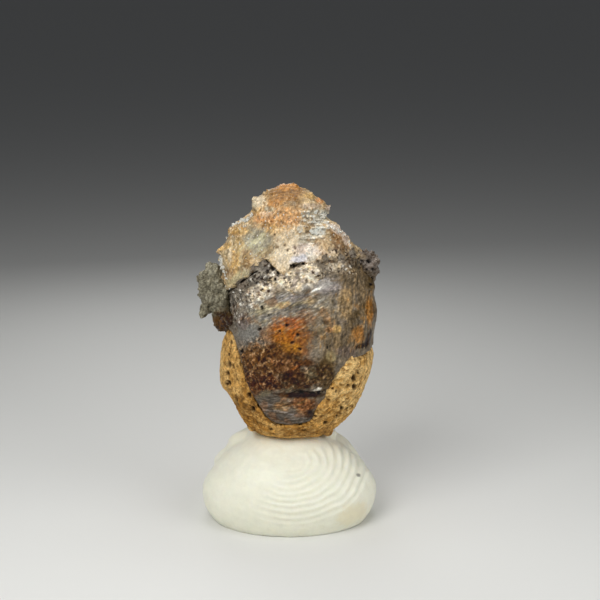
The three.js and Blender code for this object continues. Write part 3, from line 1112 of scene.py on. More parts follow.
        # The low bars of the rows get a darker orange, partly painted shade, and the raised block tops a painted cream
        # highlight.
        canvas.stain_and_light(rows * ramp(bars, 0.5, 0.3) * 0.4, Shade.CAP_EDGE, 0.5)
        canvas.stain_and_light(rows * ramp(bars, 0.6, 0.9) * ramp(blocks, 0.4, 0.7) * 0.5, Shade.CREAM, 0.25)
        canvas.stain_and_light(canvas.weight(self.shoulder) * ramp(tone, 0.3, 0.2) * 0.6, Shade.DARK_SLATE, 0.5)
        canvas.stain_and_light(canvas.weight(self.shoulder) * ramp(grain, 0.2, 0.14) * 0.8, Shade.NIGHT_BROWN, 0.6)
        green = canvas.weight(self.calm[:1])
        lines = streaks(points, 48, 1.2, 0.2, 35)
        canvas.stain_and_light(green * ramp(lines, 0.1, 0.4) * 0.5, Shade.STRAW)
        canvas.stain_and_light(green * ramp(-lines, 0.1, 0.4) * 0.4, Shade.OLIVE_GREY)
        terraces = canvas.weight(self.terraces)
        stair = self.stair(points, canvas.up)
        # Painted highlight on the lip of each terrace step and painted shade just under it.
        canvas.stain_and_light(terraces * ramp(stair, 0.3, 0.1) * ramp(tone, 0.2, 0.5) * 0.7, Shade.WHITE, 0.15)
        canvas.stain_and_light(terraces * ramp(stair, 0.75, 0.9) * 0.6, Shade.SHOULDER, 0.5)
        # Painted shade and light: darker where the fine relief sinks and lighter where it stands out.
        canvas.shade(np.clip(1.02 + 2.8 * relief, 0.66, 1.16))
        # Painted shade in the small carved pits.
        canvas.stain_and_light(canvas.weight(self.specks) * 0.55, Shade.NIGHT_BROWN, 0.8)
        canvas.dry()


@dataclass
class SpiralCore:
    """The dark wound spindle of calcite, from under the crust down to its tongue."""

    grain: float = 0.078
    edge: CrustEdge = CrustEdge()
    finish: StoneFinish = StoneFinish(
        "stained_calcite", grain=0.14, fine_grain=0.09, contrast=0.28, speck=0.26, stretch=2.4, turn=24.0, relief=0.035,
        fine_relief=0.02, lustre=0.06, shine=0.16,
    )
    ledge_line: tuple[tuple[float, float], ...] = (
        (-3.2, 16.3), (-1.05, 16.75), (0.1, 17.0), (1.5, 17.1), (2.4, 17.1), (3.6, 17.0), (4.2, 17.2),
    )
    step_line: tuple[tuple[float, float], ...] = (
        (-1.6, 8.9), (-0.6, 9.3), (0.2, 9.55), (0.7, 9.75), (1.1, 9.6), (1.6, 9.55), (2.4, 9.72), (2.9, 9.8),
    )
    stains: tuple[Patch, ...] = (
        Patch(0.0, 15.97, 3.3, 1.5, Shade.WARM_GREY, 0.75),
        Patch(-4.05, 16.2, 1.05, 1.2, Shade.WEDGE_GREY, 0.9),
        Patch(-2.1, 18.38, 1.35, 0.67, Shade.WEDGE_GREY, 0.9, 38),
        Patch(-1.8, 16.05, 1.8, 0.6, Shade.SAGE, 0.75, 18),
        Patch(-2.1, 15.6, 1.35, 0.26, Shade.KHAKI, 0.45, 18),
        Patch(-2.7, 16.2, 0.7, 0.1, Shade.PALE_GREY, 0.8, 28),
        Patch(-1.65, 16.6, 0.7, 0.1, Shade.PALE_GREY, 0.7, 28),
        Patch(-1.9, 15.95, 0.6, 0.09, Shade.CREAM, 0.6, 25),
        Patch(-0.4, 16.45, 0.9, 0.1, Shade.PALE_GREY, 0.6, 12),
        Patch(0.9, 16.2, 0.8, 0.1, Shade.KHAKI, 0.6, 15),
        Patch(2.2, 16.3, 0.6, 0.1, Shade.PALE_GREY, 0.6, 30),
        Patch(0.6, 16.75, 1.3, 0.08, Shade.DARK_SLATE, 0.7, 5),
        Patch(-1.0, 16.65, 0.8, 0.08, Shade.DARK_SLATE, 0.6, 20),
        Patch(-1.8, 14.3, 0.3, 0.2, Shade.CREAM, 0.7, 60),
        Patch(-2.85, 14.03, 1.12, 1.35, Shade.BLUE_GREY),
        Patch(-3.45, 14.92, 0.45, 0.67, Shade.PLUM_GREY, 0.7),
        Patch(-1.95, 14.85, 1.05, 0.38, Shade.SAGE, 0.5, 15),
        Patch(0.15, 16.57, 1.27, 0.3, Shade.LILAC_GREY, 0.6, 5),
        Patch(0.45, 15.82, 0.97, 0.38, Shade.DARK_SLATE, 0.75),
        Patch(-1.27, 15.22, 0.75, 0.22, Shade.DARK_SLATE, 0.5, 10),
        Patch(-0.6, 16.05, 0.6, 0.22, Shade.KHAKI, 0.7, 20),
        Patch(1.57, 16.35, 0.6, 0.3, Shade.STREAK_TAN, 0.5),
        Patch(3.07, 17.4, 1.12, 0.6, Shade.LILAC_GREY, 0.75, 8),
        Patch(2.5, 17.6, 0.75, 0.4, Shade.PALE_GREY, 0.6, 8),
        Patch(3.0, 17.65, 0.6, 0.06, Shade.PALE_GREY, 0.8, 8),
        Patch(2.2, 17.85, 0.5, 0.06, Shade.LAVENDER, 0.7, 20),
        Patch(1.15, 17.42, 0.6, 0.26, Shade.PALE_GREY, 0.75, 15),
        Patch(1.0, 17.1, 0.9, 0.05, Shade.DARK_SLATE, 0.6, 8),
        Patch(3.4, 17.15, 0.7, 0.06, Shade.DARK_SLATE, 0.6, 8),
        Patch(2.7, 16.9, 0.8, 0.06, Shade.DARK_SLATE, 0.6, 12),
        Patch(3.6, 17.9, 0.5, 0.06, Shade.OLIVE, 0.7, 5),
        # A painted glint on the ledge under the band.
        Patch(1.95, 17.2, 0.42, 0.07, Shade.WHITE, 1.0, 25),
        Patch(2.62, 15.75, 0.9, 1.05, Shade.SAGE, 0.3),
        Patch(2.6, 14.9, 1.1, 1.1, Shade.OLIVE, 0.4),
        Patch(1.05, 15.0, 0.9, 0.6, Shade.RUST_BROWN, 0.4),
        Patch(-1.5, 13.8, 0.67, 0.67, Shade.RUST_BROWN, 0.6),
        Patch(0.0, 14.03, 1.27, 1.12, Shade.RUST, 0.95),
        Patch(0.15, 14.77, 0.75, 0.45, Shade.RUST_RED, 0.8),
        Patch(1.05, 13.2, 0.67, 1.05, Shade.RUST_BROWN, 0.8),
        Patch(-0.67, 13.65, 0.6, 0.6, Shade.RUST_YELLOW, 0.8),
        Patch(-0.07, 12.82, 0.9, 0.45, Shade.RUST_GOLD, 0.95),
        Patch(5.02, 18.15, 1.43, 1.12, Shade.OLIVE, 0.9),
        Patch(5.25, 18.6, 0.9, 0.26, Shade.STREAK_TAN, 0.4, -10),
        Patch(4.2, 18.95, 1.2, 0.5, Shade.SHOULDER, 0.3, 8),
        Patch(4.5, 18.2, 1.3, 1.0, Shade.DARK_SLATE, 0.3),
        Patch(4.2, 16.2, 0.53, 1.35, Shade.STREAK_TAN, 0.7),
        Patch(5.47, 16.05, 0.38, 1.2, Shade.OLIVE, 0.8),
        Patch(4.72, 15.07, 0.3, 0.67, Shade.OLIVE_DARK, 0.8, -35),
        Patch(6.0, 15.6, 0.3, 1.12, Shade.STREAK_ORANGE, 0.95),
        Patch(6.15, 17.93, 0.38, 1.05, Shade.OLIVE_DARK, 0.7),
        Patch(4.35, 13.42, 0.53, 1.35, Shade.OLIVE, 0.6),
        Patch(5.17, 13.88, 0.45, 0.67, Shade.STREAK_ORANGE, 0.95),
        Patch(5.89, 13.57, 0.18, 0.67, Shade.NIGHT_BROWN, 0.95, -14),
        Patch(5.4, 13.01, 0.53, 0.15, Shade.NIGHT_BROWN, 0.9, 18),
        Patch(3.52, 13.28, 0.3, 1.05, Shade.STREAK_TAN, 0.6),
        Patch(3.52, 14.25, 0.34, 0.26, Shade.OCHRE),
        Patch(2.92, 14.17, 0.3, 0.22, Shade.BURNT_ORANGE, 0.6),
        Patch(-2.7, 12.07, 0.97, 0.97, Shade.DRUSE_BROWN, 0.95),
        Patch(-1.95, 11.25, 1.35, 1.35, Shade.DRUSE_DEEP, 0.9),
        Patch(-2.92, 9.97, 0.67, 1.05, Shade.DARK_RED, 0.85, 15),
        Patch(-1.65, 10.28, 1.05, 0.6, Shade.DARK_RED, 0.9),
        Patch(-0.3, 11.62, 0.97, 0.9, Shade.RUST_BROWN, 0.65),
        Patch(-1.05, 12.75, 0.75, 0.45, Shade.DRUSE_DEEP),
        Patch(1.12, 11.7, 0.82, 0.3, Shade.DARK_RED, 0.8),
        Patch(0.0, 11.8, 0.9, 0.9, Shade.DRUSE_DEEP, 0.45),
        Patch(0.6, 10.35, 1.35, 0.85, Shade.NIGHT_BROWN, 0.7),
        Patch(0.9, 10.4, 1.0, 0.8, Shade.DARK_RED, 0.3),
        Patch(0.1, 9.85, 0.5, 0.1, Shade.OLIVE_GREY, 0.6, 40),
        Patch(1.35, 10.3, 0.25, 0.12, Shade.STREAK_TAN, 0.6, 60),
        Patch(1.65, 10.95, 0.53, 0.53, Shade.OLIVE_GREY, 0.8),
        Patch(2.62, 11.03, 0.75, 1.35, Shade.OLIVE_DARK, 0.95),
        Patch(2.8, 13.0, 1.3, 1.0, Shade.OLIVE, 0.5),
        Patch(1.95, 12.67, 0.6, 0.97, Shade.WARM_GREY, 0.55),
        Patch(3.07, 12.3, 0.38, 0.45, Shade.KHAKI, 0.6),
        Patch(4.12, 12.6, 0.9, 0.38, Shade.PLUM_GREY, 0.6),
        Patch(-1.5, 8.78, 1.12, 0.67, Shade.TONGUE_SLATE, 0.95),
        Patch(-0.15, 7.57, 2.1, 0.6, Shade.TONGUE_SLATE, 0.95),
        Patch(-0.67, 8.4, 0.67, 0.38, Shade.STREAK_TAN, 0.75),
        Patch(0.97, 8.62, 0.97, 0.53, Shade.RUST_BROWN, 0.95),
        Patch(1.5, 7.88, 0.38, 0.3, Shade.NIGHT_BROWN, 0.9, 30),
        Patch(0.5, 8.25, 0.55, 0.08, Shade.DRUSE_TAN, 0.8, -40),
        Patch(0.9, 8.75, 0.5, 0.07, Shade.STREAK_TAN, 0.7, 20),
        Patch(-0.35, 9.2, 0.75, 0.06, Shade.DRUSE_TAN, 0.7, 48),
        Patch(-1.9, 9.35, 0.5, 0.25, Shade.OLIVE_GREY, 0.6, 20),
        Patch(-1.6, 8.15, 0.8, 0.07, Shade.LILAC_GREY, 0.6, -3),
        Patch(-0.2, 7.95, 0.9, 0.07, Shade.LILAC_GREY, 0.6, -12),
        Patch(-1.2, 7.6, 0.7, 0.08, Shade.NIGHT_BROWN, 0.6, -20),
        Patch(-2.6, 12.55, 0.7, 0.06, Shade.DRUSE_TAN, 0.5, 42),
        Patch(-2.9, 11.0, 0.55, 0.06, Shade.DRUSE_TAN, 0.6, 65),
        Patch(-2.2, 11.6, 0.5, 0.06, Shade.DRUSE_TAN, 0.6, 20),
        Patch(0.3, 11.3, 0.7, 0.1, Shade.RUST, 0.6, 30),
        # Painted shadow under the small ledge low on the front.
        Patch(0.75, 9.3, 1.8, 0.22, Shade.NIGHT_BROWN, 0.9),
    )
    grain_band: tuple[Patch, ...] = (
        Patch(-1.95, 17.2, 1.25, 0.6, Shade.CREAM, 0.9, 28),
        Patch(-0.07, 17.93, 1.65, 0.82, Shade.CREAM, 1.0),
        Patch(1.4, 18.45, 1.15, 0.72, Shade.PINK_WHITE, 0.95),
        Patch(3.3, 18.97, 0.67, 0.53, Shade.CREAM, 0.55),
        Patch(-0.67, 18.52, 0.6, 0.45, Shade.CREAM, 1.0),
    )
    mottled: tuple[Patch, ...] = (
        Patch(-4.0, 16.3, 1.3, 1.6, Shade.WEDGE_GREY, 1.0),
        Patch(-2.1, 18.3, 1.5, 0.8, Shade.WEDGE_GREY, 1.0, 38),
        Patch(4.5, 18.95, 1.5, 0.6, Shade.SHOULDER, 0.8, 8),
        Patch(2.9, 18.4, 0.9, 0.5, Shade.SHOULDER, 0.6, 8),
    )
    stroked: tuple[Patch, ...] = (Patch(-0.4, 15.6, 3.6, 2.0, Shade.SAGE, 1.0),)
    upright: tuple[Patch, ...] = (
        Patch(4.9, 15.6, 2.0, 3.2, Shade.OLIVE, 1.0),
        Patch(3.4, 13.2, 1.3, 1.7, Shade.OLIVE, 1.0),
    )
    rust: tuple[Patch, ...] = (Patch(0.1, 13.8, 1.7, 1.6, Shade.RUST, 1.0),)
    druse: tuple[Patch, ...] = (
        Patch(-2.2, 11.6, 2.0, 2.1, Shade.DRUSE_BROWN, 1.0),
        Patch(-0.3, 11.2, 1.4, 1.3, Shade.DRUSE_BROWN, 0.9),
        Patch(1.6, 10.7, 1.7, 1.1, Shade.DRUSE_BROWN, 0.9),
        Patch(0.95, 8.6, 1.0, 0.5, Shade.RUST, 0.7),
    )
    tongue: tuple[Patch, ...] = (
        Patch(-1.2, 8.5, 1.7, 1.0, Shade.TONGUE_SLATE, 1.0),
        Patch(0.1, 7.6, 2.2, 0.6, Shade.TONGUE_SLATE, 1.0),
    )
    pits: tuple[Pit, ...] = (
        Pit(-2.29, 14.25, 0.17, 0.22, 0.7, 25),
        Pit(-2.1, 15.86, 0.13, 0.2, 1.5),
        Pit(-0.26, 14.55, 0.13, 0.14, 1.2, -30),
        Pit(0.58, 13.85, 0.13, 0.16),
        Pit(0.2, 13.25, 0.17, 0.12, 0.6, 15),
        Pit(0.75, 12.75, 0.14, 0.14, 0.7, -35),
        Pit(-0.75, 14.1, 0.11, 0.12, 0.7),
        Pit(-1.6, 15.3, 0.08, 0.1),
        Pit(6.05, 17.6, 0.13, 0.16),
        Pit(-3.6, 12.6, 0.14, 0.18, 1.3),
        Pit(2.8, 12.9, 0.08, 0.14, 1.8),
    )
    # Gaps under the crust's lip, carved and then painted black as its shadow.
    gaps: tuple[Pit, ...] = (
        Pit(0.2, 18.98, 0.22, 0.3, 0.75),
        Pit(0.6, 19.02, 0.26, 0.3, 0.5, 10),
        Pit(1.05, 19.18, 0.24, 0.3, 0.5, 15),
        Pit(-1.65, 19.4, 0.16, 0.25, 1.4, 20),
        Pit(-1.3, 18.9, 0.2, 0.25, 1.6, 30),
        Pit(-0.95, 18.45, 0.2, 0.25, 1.2, 40),
        Pit(-1.7, 18.55, 0.12, 0.18, 0.9),
        Pit(-1.1, 17.95, 0.12, 0.18, 1.3),
        Pit(-4.35, 17.25, 0.5, 0.22, 0.2, 38),
        Pit(-3.55, 17.85, 0.5, 0.22, 0.18, 38),
        Pit(-2.8, 18.4, 0.5, 0.2, 0.16, 30),
    )

    def build(self) -> None:
        """Build, stain and finish the core."""
        skin = Skin("spiral_calcite")
        trim(skin.shape, 23.2, False)
        skin.fuse(self.grain)
        skin.relax(9, 0.5)
        above = self.edge.above(skin.points())
        skin.relax(70, 0.6 * ramp(above, -2.4, -1.4) * ramp(skin.points()[:, 2], 17.2, 18.0))
        relief, tone = self.carve(skin, above)
        self.paint(skin, relief, tone)
        skin.piece("spiral_core", self.finish.material(), ["spiral_calcite"])

    def carve(self, skin: Skin, above: Floats) -> tuple[Floats, Floats]:
        """Give the core its relief, and tuck it under the crust.

        Args:
            skin: The fused core.
            above: How far each point lies above the crust's edge.

        Returns:
            How far each point stands out in the fine relief, and a number from 0 to 1 for the grain it is on.
        """
        canvas = Canvas(skin, Shade.SLATE, 0.4, 12)
        points, across, up, front = canvas.points, canvas.across, canvas.up, canvas.front
        band = canvas.weight(self.grain_band)
        mottled = canvas.weight(self.mottled)
        druse = canvas.weight(self.druse)
        broken, tone = plates(points, 0.26, 41)
        coarse, _ = plates(points, 0.6, 42)
        fine = 0.05 * np.maximum(mottled, 0.6 * (1.0 - front)) * (broken + coarse)
        fine += band * (0.035 * broken + 0.04 * fractal(points, 0.4, 26))
        fine += druse * (0.06 * ridges(points, 0.45, 27) + 0.03 * broken + 0.05 * coarse - 0.03)
        fine += canvas.weight(self.stroked) * 0.015 * streaks(points, 28, 1.1, 0.2, 43)
        fine += canvas.weight(self.upright) * (0.02 * broken + 0.025 * streaks(points, 86, 1.3, 0.2, 44, 4))
        fine += canvas.weight(self.tongue) * 0.012 * streaks(points, 4, 1.6, 0.16, 45)
        fine += canvas.weight(self.rust) * 0.015 * fractal(points, 0.25, 46)
        relief = fine + 0.05 * fractal(points, 1.3, 21, 4)
        bearing = np.arctan2(points[:, 1], points[:, 0] - 0.3)
        wound = (points[:, 2] - 0.45 * bearing + 0.35 * fractal(points, 1.7, 49, 3)) / 1.3
        relief += canvas.back * (0.16 * (wound - np.floor(wound)) - 0.1 + 0.06 * fractal(points, 0.6, 50, 3))

        ledge = np.interp(across, *zip(*self.ledge_line))
        relief += 0.06 * ramp(up - ledge, -0.03, 0.06) * np.exp(-np.clip(up - ledge, 0.0, None) / 0.8) * front
        line = np.interp(across, *zip(*self.step_line))
        inside = ramp(across, -1.4, -0.4) * ramp(across, 3.0, 2.5) * front
        relief -= 0.17 * inside * ramp(line - up, -0.03, 0.08) * np.exp(-np.clip(line - up, 0.0, None) / 0.2)
        for pit in self.pits + self.gaps:
            relief -= pit.depth * pit.weight(across, up, canvas.ragged) * front
        tucked = ramp(above, 0.12, 0.5)
        skin.push(relief * (1.0 - tucked))
        skin.draw_in(0.6 * tucked)
        return fine, tone

    def paint(self, skin: Skin, relief: Floats, tone: Floats) -> None:
        """Stain the core, and paint shade and light that follow its relief, a shadow and glints at its ledges, and
        shade in its pits and gaps.

        Args:
            skin: The carved core.
            relief: How far each point stands out in the fine relief.
            tone: A number from 0 to 1 for the grain each point is on.
        """
        canvas = Canvas(skin, Shade.SLATE, 0.34, 12, 0.018)
        points, front = canvas.points, canvas.front
        mottle = fractal(points, 0.7, 33, 4)
        fine = fractal(points, 0.2, 34, 3)
        _, _, fleck = cells(points, 0.15, 47)
        canvas.stain_and_light(ramp(mottle, 0.0, 0.5) * (1.0 - 0.6 * front) * 0.7, Shade.OLIVE)
        canvas.stain_and_light(ramp(-mottle, 0.1, 0.5) * (1.0 - 0.6 * front) * 0.6, Shade.PLUM_GREY)
        canvas.lay_behind(self.stains, -0.9, 0.5)
        canvas.lay(self.stains)
        self.paint_strokes(canvas, mottle)
        self.paint_rust(canvas, fine, fleck)
        self.paint_druse(canvas, fine, fleck)
        self.paint_band(canvas, tone, fleck)
        mottled = canvas.weight(self.mottled)
        canvas.stain_and_light(mottled * ramp(tone, 0.2, 0.1) * 0.5, Shade.DARK_SLATE, 0.5)
        canvas.stain_and_light(mottled * ramp(fleck, 0.18, 0.14) * 0.8, Shade.NIGHT_BROWN, 0.5)
        # Glossy white flecks here are painted sparkle.
        canvas.stain_and_light(mottled * ramp(fleck, 0.92, 0.94) * 0.75, Shade.WHITE, 0.2)
        canvas.shade(0.95 + 0.1 * tone + 0.12 * fine)
        # Painted shade and light: darker where the fine relief sinks and lighter where it stands out.
        canvas.shade(np.clip(1.0 + 4.0 * relief, 0.55, 1.25))
        self.paint_step(canvas)
        # Painted shade in the carved pits, and painted shadow in the gaps under the crust's lip.
        canvas.stain_and_light(canvas.weight(self.pits) * 0.9, Shade.BLACK, 0.8)
        canvas.stain_and_light(canvas.weight(self.gaps) * ramp(fine, -0.45, -0.1), Shade.BLACK, 0.9)
        canvas.dry()

    def paint_strokes(self, canvas: Canvas, mottle: Floats) -> None:
        """Draw the slanting strokes of the middle, the upright streaks of the right and the tongue's lines."""
        points = canvas.points
        slanting = streaks(points, 28, 1.1, 0.2, 43)
        stroked = canvas.weight(self.stroked)
        canvas.stain_and_light(stroked * ramp(slanting, 0.15, 0.6) * 0.4, Shade.PALE_GREY, 0.25)
        canvas.stain_and_light(stroked * ramp(-slanting, 0.15, 0.6) * 0.35, Shade.OLIVE)
        canvas.stain_and_light(stroked * ramp(slanting * mottle, 0.04, 0.12) * 0.3, Shade.KHAKI)
        canvas.stain_and_light(stroked * ramp(mottle, 0.15, 0.45) * 0.35, Shade.RUST_BROWN)
        cracks = ridges(points, 0.5, 59)
        canvas.stain_and_light(stroked * ramp(cracks, 0.86, 1.0) * 0.4, Shade.DARK_SLATE)
        canvas.stain_and_light(stroked * ramp(-mottle, 0.2, 0.5) * 0.35, Shade.DARK_SLATE)
        upright = canvas.weight(self.upright)
        lines = streaks(points, 86, 1.3, 0.2, 44, 4)
        canvas.stain_and_light(upright * ramp(lines, 0.1, 0.5) * 0.4, Shade.STREAK_TAN)
        canvas.stain_and_light(upright * ramp(-lines, 0.1, 0.5) * 0.5, Shade.OLIVE_DARK)
        glow = ramp(lines + 1.3 * mottle, 0.6, 0.95) * ramp(canvas.up, 17.6, 16.6)
        canvas.stain_and_light(upright * glow * 0.35, Shade.STREAK_ORANGE)
        tongue = canvas.weight(self.tongue)
        level = streaks(points, 4, 1.6, 0.16, 45)
        canvas.stain_and_light(tongue * ramp(level, 0.1, 0.5) * 0.25, Shade.LILAC_GREY, 0.3)
        canvas.stain_and_light(tongue * ramp(-level, 0.1, 0.5) * 0.4, Shade.NIGHT_BROWN)
        canvas.stain_and_light(tongue * ramp(mottle, 0.0, 0.4) * 0.4, Shade.RUST_BROWN)
        canvas.shade(1.0 + 0.4 * tongue * streaks(points, 10, 0.5, 0.12, 54, 2))
        canvas.shade(1.0 + 0.3 * upright * streaks(points, 75, 0.32, 0.16, 55, 2))
        canvas.shade(1.02 + 0.4 * stroked * streaks(points, 26, 0.5, 0.1, 58, 2))

    def paint_rust(self, canvas: Canvas, fine: Floats, fleck: Floats) -> None:
        """Mottle the rust patch."""
        rust = canvas.weight(self.rust)
        canvas.stain_and_light(rust * ramp(fine, 0.15, 0.5) * 0.35, Shade.RUST_GOLD, 0.6)
        canvas.stain_and_light(rust * ramp(-fine, 0.15, 0.5) * 0.4, Shade.RUST_RED, 0.5)
        canvas.stain_and_light(rust * ramp(fleck, 0.9, 0.94) * 0.6, Shade.DARK_RED)
        canvas.shade(1.0 - 0.06 * rust)

    def paint_druse(self, canvas: Canvas, fine: Floats, fleck: Floats) -> None:
        """Lighten the crests of the druse, partly its own tan lines and partly painted glint, and darken its hollows
        with painted shade.
        """
        druse = canvas.weight(self.druse) * ramp(canvas.up, 14.0, 13.2)
        crests = ridges(canvas.points, 0.45, 27)
        left = ramp(canvas.across, 0.4, -1.0)
        # Crests lighter and the hollows between them darker: partly the druse's own tan lines, partly painted glint and
        # painted shade.
        canvas.stain_and_light(druse * ramp(crests, 0.4, 0.1) * (0.3 - 0.15 * left), Shade.NIGHT_BROWN, 0.3)
        canvas.stain_and_light(druse * ramp(crests, 0.78, 1.0) * (0.24 + 0.5 * left), Shade.DRUSE_TAN, 0.25)
        # Rare pale glossy flecks are painted glints.
        canvas.stain_and_light(druse * ramp(fleck, 0.982, 0.99) * left * 0.7, Shade.STREAK_TAN, 0.2)
        canvas.stain_and_light(druse * ramp(fine, 0.1, 0.4) * 0.3, Shade.RUST_BROWN)
        canvas.stain_and_light(druse * ramp(-fine, 0.1, 0.4) * 0.3, Shade.DARK_RED)
        canvas.shade(1.0 + 0.6 * druse * (fleck - 0.5))
        # More pale flecks on the crests, partly tan grains and partly painted glint.
        canvas.stain_and_light(druse * ramp(fleck, 0.86, 0.9) * ramp(crests, 0.3, 0.7) * 0.5, Shade.DRUSE_TAN, 0.25)

    def paint_band(self, canvas: Canvas, tone: Floats, fleck: Floats) -> None:
        """Speckle the band of grains under the crust."""
        band = canvas.weight(self.grain_band)
        soft = fractal(canvas.points, 0.4, 36, 3)
        canvas.stain_and_light(band * ramp(soft, -0.6, -0.1), Shade.CREAM, 0.35)
        lines = streaks(canvas.points, 16, 0.9, 0.14, 53)
        canvas.stain_and_light(band * ramp(tone, 0.78, 0.84) * 0.5, Shade.WHITE, 0.2)
        canvas.stain_and_light(band * ramp(tone, 0.3, 0.25) * 0.5, Shade.PINK_WHITE)
        canvas.stain_and_light(band * ramp(soft, 0.25, 0.5) * 0.35, Shade.OCHRE)
        canvas.stain_and_light(band * ramp(lines, 0.1, 0.4) * 0.4, Shade.LILAC_GREY)
        canvas.stain_and_light(band * ramp(fleck, 0.2, 0.16) * 0.6, Shade.SHOULDER)
        canvas.stain_and_light(band * ramp(fleck, 0.07, 0.05) * 0.95, Shade.NIGHT_BROWN)

    def paint_step(self, canvas: Canvas) -> None:
        """Paint a shadow under the small ledge low on the front, a highlight on its lip at the right, and a glint along
        the upper ledge, all painted light and shade.
        """
        across, up, front = canvas.across, canvas.up, canvas.front
        line = np.interp(across, *zip(*self.step_line))
        torn = fractal(canvas.points, 0.24, 51, 3)
        under = ramp(line - up, -0.02, 0.06) * ramp(line - up + 0.4 * torn, 0.2, 0.05)
        dark = ramp(across, 0.1, 0.6) * ramp(across, 2.8, 2.4)
        # Painted shadow in the slot under the ledge, browner in places.
        canvas.stain_and_light(under * dark * 0.9 * front, Shade.BLACK, 0.8)
        canvas.stain_and_light(under * dark * ramp(torn, 0.0, 0.3) * 0.7 * front, Shade.DRUSE_BROWN)
        # Painted highlight along the lip at the ledge's right.
        lip = ramp(up - line, -0.04, 0.02) * ramp(up - line + 0.2 * torn, 0.17, 0.08)
        canvas.stain_and_light(lip * ramp(across, 1.6, 1.9) * ramp(across, 2.45, 2.3) * front, Shade.WHITE, 0.3)
        # Painted glint along the upper ledge, which also lightens the colour.
        ledge = np.interp(across, *zip(*self.ledge_line))
        glint = ramp(np.abs(up - ledge - 0.1 - 0.42 * (across - 1.9)), 0.13, 0.04)
        glint *= ramp(across, 1.5, 1.7) * ramp(across, 2.6, 1.9) * front
        canvas.stain_and_light(glint, Shade.WHITE, 0.15)
        canvas.shade(1.0 + 0.15 * glint)


